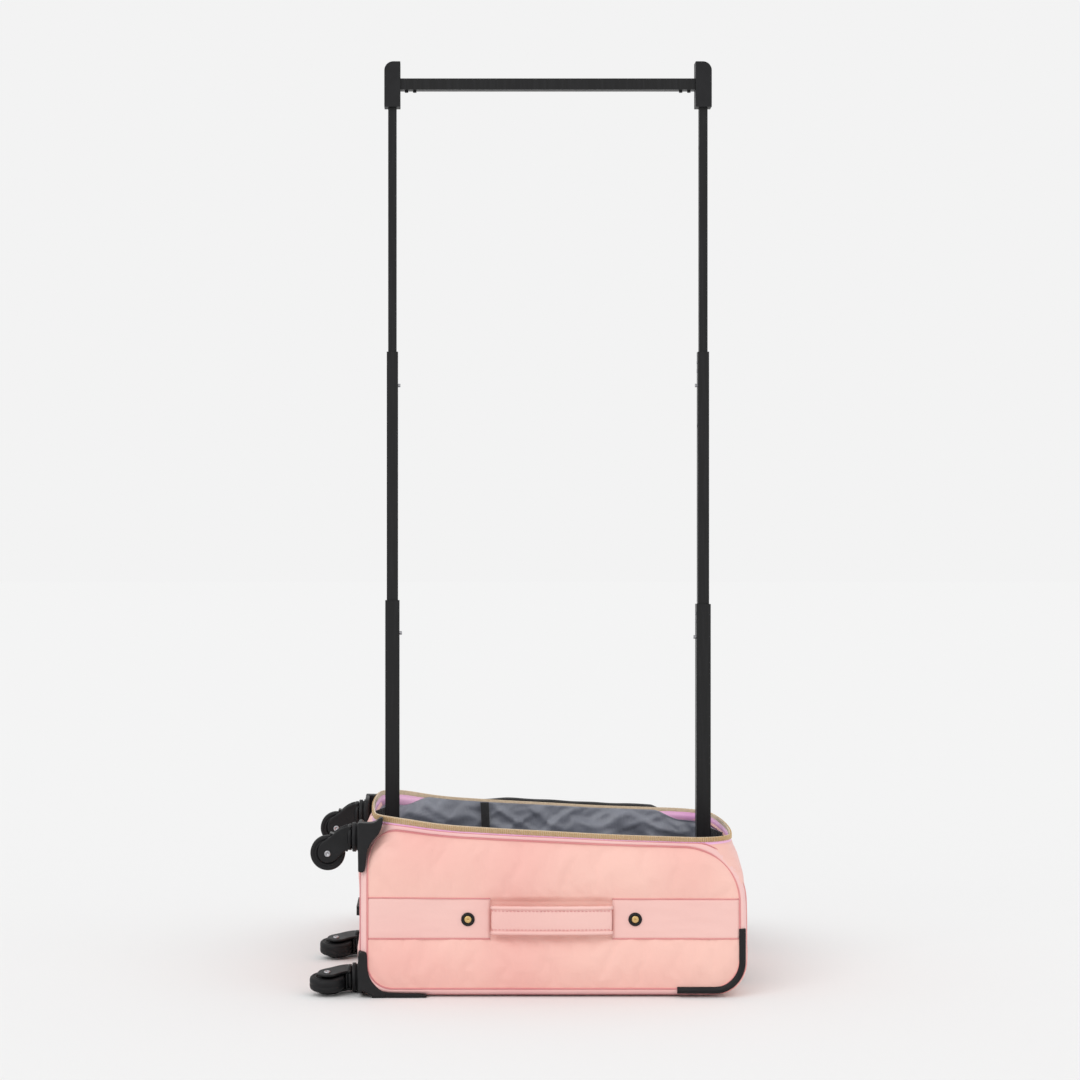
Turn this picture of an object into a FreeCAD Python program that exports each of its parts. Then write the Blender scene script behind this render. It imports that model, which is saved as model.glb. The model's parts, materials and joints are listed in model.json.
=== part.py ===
"""Soft carry-on case on four spinner wheels, lying open on its back, with a telescoping garment rack.

Frame: +X towards the head end, -X towards the wheels, -Y the side with the carry handle, +Z up.
The origin is on the floor under the middle of the case.  All lengths are in millimetres.
"""
import FreeCAD, Part
import math
import os
import re

import Sketcher

V = FreeCAD.Vector
SIZES = {
    # case body
    "case_length": 494.0, "case_width": 350.0, "back_height": 3.0, "foot_rim": 233.0, "head_rim": 202.0,
    "panel_wall": 6.0, "plan_corner": 16.0, "foot_corner": 32.0, "head_corner": 38.0,
    # rim: zip gusset, zip chain and stiffening strip, measured down from the rim line
    "zip_tall": 5.0, "zip_thick": 3.5, "zip_inset": 1.5, "gusset_tall": 18.0, "gusset_thick": 2.5,
    "gusset_inset": 0.5, "rim_corner": 50.0, "rim_strip_tall": 14.0, "rim_strip_thick": 2.0,
    # piping, bands, handles and eyelets
    "piping_width": 4.0, "piping_proud": 3.0, "piping_inset": 11.0, "piping_low": 11.5,
    "piping_drop": 20.0, "piping_foot_top": 40.0, "piping_head_top": 70.0,
    "band_low": 75.0, "band_tall": 51.0, "band_thick": 2.0, "band_inset": 17.0, "head_band_inset": 27.0,
    "handle_centre": -3.0, "handle_opening": 155.0, "handle_tall": 36.5, "handle_low": 81.5,
    "handle_thick": 4.0, "handle_gap": 7.0, "handle_slope": 25.0, "window_margin": 3.5,
    "eyelet_pitch": 213.0, "eyelet_high": 100.0, "eyelet_width": 17.3, "eyelet_hole": 9.5,
    "eyelet_thick": 2.4, "eyelet_centre_thick": 1.4,
    # guards, wheel housings and the bottom grip
    "skin": 2.6, "guard_face": 8.0, "guard_long": 90.0, "guard_top": 89.0, "guard_reach": 25.0,
    "housing_reach": 72.0, "low_housing_top": 59.0, "skid_long": 86.0, "horn_low": 159.0,
    "horn_bend": 195.0, "horn_top": 222.0, "horn_reach": 30.0, "collar_width": 37.8, "collar_proud": 11.0,
    "grip_half": 45.0, "grip_low": 84.0, "grip_tall": 12.0, "grip_thick": 4.0, "grip_gap": 5.0,
    # casters
    "caster_inset": 40.0, "low_caster": 19.0, "high_caster": 200.0, "trail": 20.0, "wheel_reach": 31.6,
    "wheel_width": 17.0, "wheel_size": 45.0, "wheel_edge": 3.0, "fork_wall": 3.0, "fork_end": 16.0,
    "crown_size": 34.0, "crown_thick": 8.0, "stem_size": 8.0, "stem_long": 9.0, "axle_size": 6.0,
    "axle_head": 8.4, "axle_head_thick": 1.0, "low_swivel": 82.0,
    # lining, floor board and rack sockets
    "lining_thick": 1.0, "lining_corner": 46.0, "lining_round": 12.0, "board_low": 25.7, "board_thick": 1.2,
    "socket_wall": 3.0, "socket_tall": 62.0, "socket_flange": 36.0, "socket_floor": 3.0,
    "lining_strap_x": -82.0, "strap_width": 12.0, "strap_thick": 1.2, "strap_ring_wall": 2.0,
    "post_strap_tall": 10.0, "post_strap_drop": 20.0,
    # rack
    "post_inset": 38.0, "tube_wall": 1.2, "low_tube": 19.0, "low_gap": 0.8, "mid_gap": 0.65,
    "low_top_left": 502.0, "low_top_right": 497.0, "mid_foot": 442.0, "mid_top": 836.0, "top_foot": 770.0,
    "mid_travel": 284.0, "top_travel": 320.0, "bar_low": 1188.0, "bar_size": 15.0, "bar_socket": 8.0,
    "connector_low": 1164.6, "connector_top": 1225.4, "connector_size": 21.5, "connector_corner": 12.0,
    "stud_near": 19.0, "stud_far": 30.0, "stud_size": 4.7, "stud_long": 2.7,
    "button_size": 4.8, "button_proud": 3.3, "button_inside": 0.3, "lock_hole": 5.8,
    "low_button_left": 458.0, "low_button_right": 452.5, "mid_button": 791.0,
    "rivet_size": 4.2, "rivet_proud": 1.0, "rivet_below_low": 12.5, "rivet_below_mid": 14.0,
    "rivet_pitch": 11.5,
    # trolley handle inside the back
    "trolley_side": 60.0, "trolley_high": 16.5, "trolley_wide": 17.0, "trolley_deep": 12.0,
    "trolley_step": 3.0, "trolley_wall": 1.0, "trolley_inset": 32.0, "cup_wall": 2.0, "cup_half": 76.0,
    "cup_low": 6.0, "cup_top": 25.5, "cup_inset": 16.0, "grip_long": 17.0, "grip_half_width": 70.0,
    "grip_deep": 13.0, "trolley_button_width": 16.0, "trolley_button_deep": 7.0, "trolley_stroke": 2.0,
    # lid
    "hinge_out": 2.5, "hinge_drop": 10.5, "lid_margin": 24.0, "lid_short": 4.0, "lid_start": 14.0,
    "lid_thick": 12.0, "lid_corner": 48.0, "lid_angle": 210.0, "tape_half": 160.0, "tape_thick": 2.5,
    # clearances
    "run_gap": 0.05, "seat_gap": 0.2, "loose_gap": 0.3, "strap_gap": 0.5, "wheel_gap": 0.4,
    "rest_gap": 0.1, "rim_gap": 2.0, "face_gap": 0.5, "board_gap": 4.0, "strap_foot": 12.0,
    "trolley_nest": 5.0, "button_hidden": 2.0, "collar_root": 12.0, "fork_shoulder": 3.0, "fork_heel": 1.0,
    "lid_edge": 1.0, "tape_foot": 8.0, "tape_head": 2.0, "grip_foot": 15.0,
    # how far a cutting block or a blank runs past what it cuts
    "over": 1.0, "window_over": 10.0, "far_over": 20.0,
}

doc = FreeCAD.newDocument("GarmentRackCase")
sheet = doc.addObject("Spreadsheet::Sheet", "Sizes")
for row, (alias, number) in enumerate(SIZES.items(), start=1):
    sheet.set("A%d" % row, alias)
    sheet.set("B%d" % row, str(number))
    sheet.setAlias("B%d" % row, alias)
doc.recompute()

nodes = {}

# places that follow the case and the outer tube
COLLAR_FACE = "(-case_length/2 - collar_proud)"
CASTER_SIDE = "(case_width/2 - caster_inset)"
POST = "(case_length/2 - post_inset)"
MID_TUBE = "(low_tube - 2*tube_wall - 2*low_gap)"
TOP_TUBE = "(low_tube - 4*tube_wall - 2*low_gap - 2*mid_gap)"
TROLLEY_FOOT = "(-case_length/2 + trolley_inset)"
BOARD_TOP = "board_low + board_thick + rest_gap"


# ---------------------------------------------------------------- helpers

def bind(expression):
    """An expression on size names, as FreeCAD reads it."""
    return re.sub(r"[a-z][a-z_]+", lambda word: ("Sizes." if word.group() in SIZES else "") + word.group(),
                  str(expression))


def place(thing, corner):
    for axis, expression in zip("xyz", corner):
        thing.setExpression("Placement.Base." + axis, bind(expression))
    return thing


def box(name, size, corner):
    thing = doc.addObject("Part::Box", name)
    for side, expression in zip(("Length", "Width", "Height"), size):
        thing.setExpression(side, bind(expression))
    return place(thing, corner)


def block(name, low, high):
    """A box between two opposite corners."""
    size = ["(%s) - (%s)" % (far, near) for near, far in zip(low, high)]
    return box(name, size, low)


TURNS = {"x": FreeCAD.Rotation(V(0, 1, 0), 90), "y": FreeCAD.Rotation(V(1, 0, 0), -90),
         "z": FreeCAD.Rotation()}


def cylinder(name, width, length, base, axis):
    """A cylinder of a given diameter that runs from base along +axis."""
    thing = doc.addObject("Part::Cylinder", name)
    thing.Placement = FreeCAD.Placement(V(), TURNS[axis])
    thing.setExpression("Radius", bind("(%s)/2" % width))
    thing.setExpression("Height", bind(length))
    return place(thing, base)


def combine(kind, name, base, tool):
    thing = doc.addObject("Part::" + kind, name)
    thing.Base = base
    thing.Tool = tool
    return thing


def cut(name, base, *tools):
    for number, tool in enumerate(tools):
        last = number == len(tools) - 1
        base = combine("Cut", name if last else "%s_cut_%d" % (name, number), base, tool)
    return base


def common(name, base, tool):
    return combine("Common", name, base, tool)


def fuse(name, *shapes):
    thing = doc.addObject("Part::MultiFuse", name)
    thing.Shapes = list(shapes)
    return thing


def group(name, *shapes):
    """Separate solids that share one node."""
    thing = doc.addObject("Part::Compound", name)
    thing.Links = list(shapes)
    return thing


def node(thing, name=None):
    """Registers a finished sub-part under the name of its file."""
    thing.Label = name or thing.Name
    nodes[thing.Label] = thing
    return thing


def outline_body(name, plane, corners):
    """A body with a closed sketch of straight edges; each corner is (across, up) or (across, up, radius)."""
    body = doc.addObject("PartDesign::Body", name)
    sketch = body.newObject("Sketcher::SketchObject", name + "_outline")
    origin_plane = next(item for item in body.Origin.OriginFeatures if item.Role == plane)
    sketch.AttachmentSupport = (origin_plane, [""])
    sketch.MapMode = "FlatFace"
    count = len(corners)
    ring = [V(math.cos(math.tau * i / count), math.sin(math.tau * i / count), 0) for i in range(count + 1)]
    for start, end in zip(ring, ring[1:]):
        sketch.addGeometry(Part.LineSegment(start, end))
    for index, corner in enumerate(corners):
        sketch.addConstraint(Sketcher.Constraint("Coincident", index, 2, (index + 1) % count, 1))
        for kind, expression in zip(("DistanceX", "DistanceY"), corner):
            number = sketch.addConstraint(Sketcher.Constraint(kind, -1, 1, index, 1, 1.0))
            sketch.setExpression("Constraints[%d]" % number, bind(expression))
    return body, sketch


def edges_at(shape, point, direction):
    """Names of the straight edges of a shape that run along direction through point."""
    found = []
    for number, edge in enumerate(shape.Edges, start=1):
        if not isinstance(edge.Curve, Part.Line):
            continue
        along = edge.Curve.Direction.cross(direction).Length < 1e-6
        if along and (edge.Vertexes[0].Point - point).cross(direction).Length < 1e-4:
            found.append("Edge%d" % number)
    return found


def pad_outline(name, plane, corners, depth, base=("0", "0", "0")):
    """A padded outline whose corners are rounded where a radius is given.

    The pad grows along +Z from XY, along -Y from XZ and along +X from YZ.
    """
    body, sketch = outline_body(name, plane, corners)
    pad = body.newObject("PartDesign::Pad", name + "_pad")
    pad.Profile = sketch
    pad.setExpression("Length", bind(depth))
    doc.recompute()
    turn = sketch.Placement.Rotation
    direction = turn.multVec(V(0, 0, 1))
    feature = pad
    for index, corner in enumerate(corners):
        if len(corner) == 2:
            continue
        point = turn.multVec(sketch.Geometry[index].StartPoint)
        fillet = body.newObject("PartDesign::Fillet", "%s_round_%d" % (name, index))
        fillet.Base = (feature, edges_at(feature.Shape, point, direction))
        fillet.setExpression("Radius", bind(corner[2]))
        doc.recompute()
        feature = fillet
    return place(body, base)


def turned(name, section):
    """A ring turned about Y from a half section of (radius, along) points."""
    body, sketch = outline_body(name, "XY_Plane", section)
    turning = body.newObject("PartDesign::Revolution", name + "_turning")
    turning.Profile = sketch
    turning.ReferenceAxis = (sketch, ["V_Axis"])
    turning.Angle = 360
    return body


def rim(across, drop):
    """Height of the sloping rim line at a place along the case, less a drop."""
    return ("(foot_rim + head_rim)/2 - (foot_rim - head_rim)*(%s)/case_length - (%s)" % (across, drop))


def plan_prism(name, inset, corner):
    """A tall prism of the case's plan, inset from its walls."""
    far_x = "case_length/2 - (%s)" % inset
    far_y = "case_width/2 - (%s)" % inset
    corners = [("-(%s)" % far_x, "-(%s)" % far_y, corner), (far_x, "-(%s)" % far_y, corner),
               (far_x, far_y, corner), ("-(%s)" % far_x, far_y, corner)]
    return pad_outline(name, "XY_Plane", corners, "foot_rim + 3*far_over", ("0", "0", "-far_over"))


def side_prism(name, inset, floor, foot_round, head_round, drop):
    """A prism of the case's side outline, with the sloping rim on top."""
    far_x = "case_length/2 - (%s)" % inset
    corners = [("-(%s)" % far_x, floor, foot_round), (far_x, floor, head_round),
               (far_x, rim(far_x, drop)), ("-(%s)" % far_x, rim("-(%s)" % far_x, drop))]
    return pad_outline(name, "XZ_Plane", corners, "case_width + 2*far_over", ("0", "case_width/2 + 20", "0"))


def tub(name, inset, corner, floor, foot_round, head_round, drop):
    """The solid that the case's walls enclose at a given inset."""
    return common(name, plan_prism(name + "_plan", inset, corner),
                  side_prism(name + "_side", inset, floor, foot_round, head_round, drop))


def rim_ring(name, inset, thick, corner, top, bottom):
    """A strip round the mouth of the case, between two lines below the rim."""
    loop = cut(name + "_loop", plan_prism(name + "_outer", inset, corner),
               plan_prism(name + "_inner", "%s + %s" % (inset, thick), "%s - %s" % (corner, thick)))
    far = "case_length/2"
    corners = [("-" + far, rim("-" + far, bottom)), (far, rim(far, bottom)),
               (far, rim(far, top)), ("-" + far, rim("-" + far, top))]
    slab = pad_outline(name + "_slab", "XZ_Plane", corners, "case_width + 2*far_over",
                       ("0", "case_width/2 + 20", "0"))
    return common(name, loop, slab)


def both_sides(name, near):
    """A piece on the near side and its mirror image on the far side, as one group."""
    mirror = doc.addObject("Part::Mirroring", name + "_far")
    mirror.Source = near
    mirror.Normal = V(0, 1, 0)
    return group(name, near, mirror)


# ---------------------------------------------------------------- case body

def padded_panels():
    """Five padded panels cut from one tub: two sides, and the foot, back and head of the wrap."""
    outer = tub("shell_outside", "0", "plan_corner", "back_height", "foot_corner", "head_corner",
                "zip_tall + gusset_tall")
    inner = tub("shell_inside", "panel_wall", "plan_corner - panel_wall", "back_height + panel_wall",
                "foot_corner - panel_wall", "head_corner - panel_wall", "-far_over")
    shell = cut("shell", outer, inner)
    reach = "case_length/2 + 10"
    side = "case_width/2"
    inside = "case_width/2 - panel_wall"
    top = "foot_rim + far_over"
    node(common("near_side_panel", shell, block("near_slice", ("-(%s)" % reach, "-" + side, "0"),
                                                (reach, "-(%s)" % inside, top))))
    node(common("far_side_panel", shell, block("far_slice", ("-(%s)" % reach, inside, "0"),
                                               (reach, side, top))))
    foot_line = "-case_length/2 + foot_corner"
    head_line = "case_length/2 - head_corner"
    node(common("foot_panel", shell, block("foot_slice", ("-(%s)" % reach, "-(%s)" % inside, "0"),
                                           (foot_line, inside, top))))
    node(common("back_panel", shell, block("back_slice", (foot_line, "-(%s)" % inside, "0"),
                                           (head_line, inside, top))))
    head = common("head_whole", shell, block("head_slice", (head_line, "-(%s)" % inside, "0"),
                                             (reach, inside, top)))
    mouth = block("trolley_mouth", (head_line, "-cup_half - seat_gap", "-over"),
                  (reach, "cup_half + seat_gap", "cup_top + seat_gap"))
    node(cut("head_panel", head, mouth))


def outside_tub():
    """The case's whole outer volume, for cutting what lies on it."""
    return tub("outside", "0", "plan_corner", "back_height", "foot_corner", "head_corner", "-far_over")


def piping_loop(name, inset):
    """The outline of a side panel's piping, as a prism of the piping's thickness."""
    far = "case_length/2 - piping_inset - (%s)" % inset
    low = "piping_low + (%s)" % inset
    drop = "piping_drop + (%s)" % inset
    corners = [("-(%s)" % far, low, "foot_corner - (%s)" % inset), (far, low, "head_corner - (%s)" % inset),
               (far, rim(far, drop), "piping_head_top - (%s)" % inset),
               ("-(%s)" % far, rim("-(%s)" % far, drop), "piping_foot_top - (%s)" % inset)]
    return pad_outline(name, "XZ_Plane", corners, "piping_proud", ("0", "-case_width/2", "0"))


def rim_and_piping():
    near = cut("near_piping", piping_loop("piping_outside", "0"),
               piping_loop("piping_inside", "piping_width"))
    node(both_sides("side_piping", near))
    node(rim_ring("rim_gusset", "gusset_inset", "gusset_thick", "rim_corner", "zip_tall",
                  "zip_tall + gusset_tall"))
    node(rim_ring("rim_zipper", "zip_inset", "zip_thick", "rim_corner", "0", "zip_tall"))
    strip_inset = "gusset_inset + gusset_thick + seat_gap"
    node(rim_ring("rim_stiffener", strip_inset, "rim_strip_thick", "rim_corner", "zip_tall + rim_gap",
                  "zip_tall + rim_gap + rim_strip_tall"))


def handle_strap(name, plane, face, centre, base):
    """A bowed strap between the ends of its window; face is the panel it is sewn to."""
    end = "(handle_opening/2 - seat_gap - seat_gap)"
    near = "(%s) - %s" % (centre, end)
    far = "(%s) + %s" % (centre, end)
    under = "(%s) + handle_gap" % face
    crown = "(%s) + handle_gap + handle_thick" % face
    lift = "(%s) + handle_thick" % face
    top = [(near, face), (near, lift), (near + " + handle_slope", crown), (far + " - handle_slope", crown),
           (far, lift), (far, face), (far + " - handle_thick*2", face),
           (far + " - handle_slope - handle_thick", under), (near + " + handle_slope + handle_thick", under),
           (near + " + handle_thick*2", face)]
    if plane == "near":
        corners = [(across, "-(%s)" % out) for across, out in top]
    else:
        corners = [(out, across) for across, out in top]
    return pad_outline(name, "XY_Plane", corners, "handle_tall", base)


def bands_and_handles():
    """A stitched band on the near side and one on the head end, each with a window for its handle."""
    side = "case_width/2"
    head = "case_length/2"
    half = "handle_opening/2"
    top = "band_low + band_tall"
    low_line = "band_low + window_margin"
    high_line = "band_low + band_tall - window_margin"
    side_band = cut("side_band", block("side_band_blank",
                                       ("-%s + band_inset" % head, "-%s - band_thick" % side, "band_low"),
                                       (head + " - band_inset", "-" + side, top)),
                    block("side_window", ("handle_centre - " + half, "-%s - window_over" % side, low_line),
                          ("handle_centre + " + half, "-%s + window_over" % side, high_line)))
    head_band = cut("head_band", block("head_band_blank", (head, "-%s + head_band_inset" % side, "band_low"),
                                       (head + " + band_thick", side + " - head_band_inset", top)),
                    block("head_window", (head + " - window_over", "-" + half, low_line),
                          (head + " + window_over", half, high_line)))
    node(group("handle_bands", side_band, head_band))
    node(handle_strap("near_side_handle", "near", side, "handle_centre", ("0", "0", "handle_low")))
    node(handle_strap("head_handle", "head", head, "0", ("0", "0", "handle_low")))
    rings = []
    studs = []
    side_face = "-%s - band_thick - eyelet_thick" % side
    spots = [("side", "y", "handle_centre %s eyelet_pitch/2" % sign, side_face) for sign in "-+"]
    spots += [("head", "x", head + " + band_thick", "%seyelet_pitch/2" % sign) for sign in "-+"]
    for number, (name, axis, across, along) in enumerate(spots):
        label = "%s_eyelet_%d" % (name, number)
        base = (across, along, "eyelet_high")
        ring = cut(label, cylinder(label + "_disc", "eyelet_width", "eyelet_thick", base, axis),
                   cylinder(label + "_hole", "eyelet_hole", "eyelet_thick", base, axis))
        rings.append(ring)
        inner_face = across if axis == "x" else along
        if axis == "y":
            inner_face = "-%s - band_thick - eyelet_centre_thick" % side
        base = (inner_face, along, "eyelet_high") if axis == "x" else (across, inner_face, "eyelet_high")
        studs.append(cylinder(label + "_centre", "eyelet_hole", "eyelet_centre_thick", base, axis))
    node(group("eyelet_rings", *rings))
    node(group("eyelet_centres", *studs))


def corner_guards_and_housings(outside):
    """Moulded guards over the head's lower corners, and wheel housings over the foot's corners."""
    side = "case_width/2"
    edge = "case_length/2 + skin"
    proud = side + " + piping_proud - face_gap"
    skin_solid = side_prism("skin_outline", "-skin", "0", "foot_corner + skin",
                            "head_corner + skin", "-far_over")
    face_line = side_prism("face_line", "guard_face", "back_height + guard_face", "foot_corner - guard_face",
                           "head_corner - guard_face", "-far_over")
    guard = common("guard_blank", skin_solid,
                   block("guard_reach", ("case_length/2 - guard_long", "-(%s)" % proud, "-over"),
                         (edge + " + over", "-%s + guard_reach" % side, "guard_top")))
    node(both_sides("head_corner_guards", cut("near_guard", guard, outside, face_line)))

    low = common("low_housing_blank", skin_solid,
                 block("low_reach", ("-(%s) - over" % edge, "-(%s)" % proud, "-over"),
                       ("-case_length/2 + skid_long", "-%s + housing_reach" % side, "low_housing_top")))
    low = cut("low_housing_shell", low, face_line)
    horn = [("-(%s)" % edge, "horn_low"), ("-case_length/2 + guard_face", "horn_low"),
            ("-case_length/2 + guard_face", "horn_bend"), ("-case_length/2 + horn_reach", "horn_top"),
            ("-(%s)" % edge, "horn_top")]
    high = pad_outline("high_housing_blank", "XZ_Plane", horn, "housing_reach + piping_proud - face_gap",
                       ("0", "-%s + housing_reach" % side, "0"))
    for name, shell, height in (("lower", low, "low_caster"), ("upper", high, "high_caster")):
        collar = cylinder(name + "_collar", "collar_width", "collar_proud + collar_root",
                          (COLLAR_FACE, "-" + CASTER_SIDE, height), "x")
        whole = cut(name + "_housing_solid", fuse(name + "_housing_fused", shell, collar), outside)
        bore = cylinder(name + "_stem_bore", "stem_size + run_gap*2", "stem_long + 1",
                        (COLLAR_FACE + " - over", "-" + CASTER_SIDE, height), "x")
        node(both_sides(name + "_wheel_housings", cut("near_%s_housing" % name, whole, bore)))

    face = "case_length/2"
    out = "-(%s + grip_gap + grip_thick)" % face
    under = "-(%s + grip_gap)" % face
    outline = [("-" + face, "-grip_half"), (out, "-grip_half + grip_gap"), (out, "grip_half - grip_gap"),
               ("-" + face, "grip_half"), ("-" + face, "grip_half - grip_gap*2"),
               (under, "grip_half - grip_foot"), (under, "-grip_half + grip_foot"),
               ("-" + face, "-grip_half + grip_gap*2")]
    node(pad_outline("bottom_grip", "XY_Plane", outline, "grip_tall", ("0", "0", "grip_low")))


def lining_and_sockets():
    """The lining skin, the board under it, two floor sockets and two webbing loops for the posts."""
    skin = "panel_wall + loose_gap"
    floor = BOARD_TOP
    cloth = tub("lining_outside", skin, "lining_corner", floor, "lining_round", "lining_round",
                "zip_tall + face_gap")
    space = tub("lining_inside", skin + " + lining_thick", "lining_corner - lining_thick",
                floor + " + lining_thick", "lining_round - lining_thick",
                "lining_round - lining_thick", "-far_over")
    node(cut("lining", cloth, space))
    board = plan_prism("board_blank", "panel_wall + board_gap", "lining_corner - board_gap")
    node(common("floor_board", board, block("board_slice", ("-case_length", "-case_width", "board_low"),
                                            ("case_length", "case_width", "board_low + board_thick"))))
    inner_face = "case_width/2 - panel_wall - loose_gap - lining_thick"
    strap_foot = floor + " + lining_thick + strap_foot"
    node(block("lining_strap", ("lining_strap_x - strap_width/2", inner_face + " - strap_thick", strap_foot),
               ("lining_strap_x + strap_width/2", inner_face, rim("lining_strap_x", "zip_tall + 1"))))

    socket_foot = BOARD_TOP + " + lining_thick"
    sockets = []
    straps = []
    for name, sign in (("left", "-"), ("right", "")):
        centre = sign + POST
        half = "(low_tube/2 + seat_gap)"
        wall = "(low_tube/2 + seat_gap + socket_wall)"
        foot = box(name + "_flange", ("socket_flange", "socket_flange", "socket_floor"),
                   (centre + " - socket_flange/2", "-socket_flange/2", socket_foot))
        rise = block(name + "_sleeve", (centre + " - " + wall, "-" + wall, socket_foot),
                     (centre + " + " + wall, wall, socket_foot + " + socket_tall"))
        bore = block(name + "_sleeve_bore",
                     (centre + " - " + half, "-" + half, socket_foot + " + socket_floor"),
                     (centre + " + " + half, half, socket_foot + " + socket_tall + over"))
        sockets.append(cut(name + "_socket", fuse(name + "_socket_body", foot, rise), bore))
        half = "(low_tube/2 + strap_gap)"
        wall = "(low_tube/2 + strap_gap + strap_ring_wall)"
        low = rim(centre, "post_strap_drop + post_strap_tall/2")
        high = rim(centre, "post_strap_drop - post_strap_tall/2")
        loop = block(name + "_loop", (centre + " - " + wall, "-" + wall, low),
                     (centre + " + " + wall, wall, high))
        eye = block(name + "_loop_eye", (centre + " - " + half, "-" + half, low + " - over"),
                    (centre + " + " + half, half, high + " + over"))
        end_face = "(case_length/2 - panel_wall - loose_gap - lining_thick)"
        span = [POST + " + " + wall, end_face]
        if sign:
            span = ["-" + end_face, "-(%s + %s)" % (POST, wall)]
        tail = block(name + "_tail", (span[0], "-strap_width/2", low), (span[1], "strap_width/2", high))
        straps.append(cut(name + "_post_strap", fuse(name + "_strap_body", loop, tail), eye))
    node(group("post_sockets", *sockets))
    node(group("post_straps", *straps))


# ---------------------------------------------------------------- trolley handle in the back

def flat_tubes(name, stage, foot, length, bore=True):
    """A pair of flat tubes, each stage a step smaller than the one around it."""
    pair = []
    for side in ("-", ""):
        parts = []
        for inset in ("0", "trolley_wall")[:2 if bore else 1]:
            wide = "trolley_wide - trolley_step*%d - 2*(%s)" % (stage, inset)
            deep = "trolley_deep - trolley_step*%d - 2*(%s)" % (stage, inset)
            end = "0" if inset == "0" else "1"
            label = (name, "near" if side else "far", "bore" if end == "1" else "out")
            parts.append(box("%s_tube_%s_%s" % label,
                             ("%s + 2*%s" % (length, end), wide, deep),
                             ("%s - %s" % (foot, end), "%strolley_side - (%s)/2" % (side, wide),
                              "trolley_high - (%s)/2" % deep)))
        label = "%s_%s" % (name, "near" if side else "far")
        pair.append(cut(label, *parts) if bore else parts[0])
    return group(name, *pair)


def trolley():
    """Two pulling stages, a cup at the head end, and a grip with its release button."""
    cup_back = "case_length/2 - head_corner"
    node(flat_tubes("trolley_outer_tubes", 0, TROLLEY_FOOT, "%s - %s - seat_gap" % (cup_back, TROLLEY_FOOT)))
    middle_head = cup_back + " + cup_wall"
    node(flat_tubes("trolley_middle_tubes", 1, TROLLEY_FOOT + " + trolley_nest",
                    "%s - %s - trolley_nest" % (middle_head, TROLLEY_FOOT)))
    node(flat_tubes("trolley_inner_tubes", 2, TROLLEY_FOOT + " + 2*trolley_nest",
                    "%s + 2*seat_gap - %s - 10" % (middle_head, TROLLEY_FOOT), bore=False))
    shell = block("cup_blank", (cup_back, "-cup_half", "cup_low"),
                  ("case_length/2 - cup_inset", "cup_half", "cup_top"))
    hollow = block("cup_hollow", (cup_back + " + cup_wall", "-cup_half + cup_wall", "cup_low + cup_wall"),
                   ("case_length/2 - cup_inset + 1", "cup_half - cup_wall", "cup_top - cup_wall"))
    holes = []
    for side in ("-", ""):
        wide = "(trolley_wide - trolley_step + seat_gap)"
        deep = "(trolley_deep - trolley_step + seat_gap)"
        holes.append(box("cup_hole_%s" % ("near" if side else "far"), ("cup_wall + 2*over", wide, deep),
                         (cup_back + " - over", "%strolley_side - %s/2" % (side, wide),
                          "trolley_high - %s/2" % deep)))
    node(cut("trolley_cup", shell, hollow, *holes))
    grip_back = cup_back + " + cup_wall + 2*seat_gap"
    bar = box("grip_bar", ("grip_long", "2*grip_half_width", "grip_deep"),
              (grip_back, "-grip_half_width", "trolley_high - grip_deep/2"))
    pocket = box("button_pocket", ("trolley_stroke + 6", "trolley_button_width + 2*run_gap",
                                   "trolley_button_deep + 2*run_gap"),
                 (grip_back + " + grip_long - trolley_stroke - 4", "-trolley_button_width/2 - run_gap",
                  "trolley_high - trolley_button_deep/2 - run_gap"))
    node(cut("trolley_grip", bar, pocket))
    node(box("trolley_button",
             ("trolley_stroke + button_hidden", "trolley_button_width", "trolley_button_deep"),
             (grip_back + " + grip_long - trolley_stroke - 1", "-trolley_button_width/2",
              "trolley_high - trolley_button_deep/2")))


# ---------------------------------------------------------------- garment rack

def square_tube(name, centre, width, foot, top, holes=()):
    """A square tube standing on a post's centre line, with lock holes through its inner wall."""
    half = "(%s)/2" % width
    outside = block(name + "_outside", (centre + " - " + half, "-" + half, foot),
                    (centre + " + " + half, half, top))
    inner = half + " - tube_wall"
    bore = block(name + "_bore", ("%s - (%s)" % (centre, inner), "-(%s)" % inner, "(%s) - over" % foot),
                 ("%s + (%s)" % (centre, inner), inner, "(%s) + over" % top))
    tools = [bore]
    for number, (height, size) in enumerate(holes):
        start = centre if centre.startswith("-") else "%s - %s - over" % (centre, half)
        tools.append(cylinder("%s_hole_%d" % (name, number), size, half + " + over",
                              (start, "0", height), "x"))
    return node(cut(name, outside, *tools))


def snap_button(name, sign, width, height):
    """A sprung button in the inner wall of a tube; it presses towards the post's centre."""
    wall_face = "(%s - (%s)/2)" % (POST, width)
    near = "%s - button_proud" % wall_face
    length = "button_proud + tube_wall + button_inside"
    start = near if not sign else "-(%s) - (%s)" % (near, length)
    return node(cylinder(name, "button_size", length, (start, "0", height), "x"))


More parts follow.
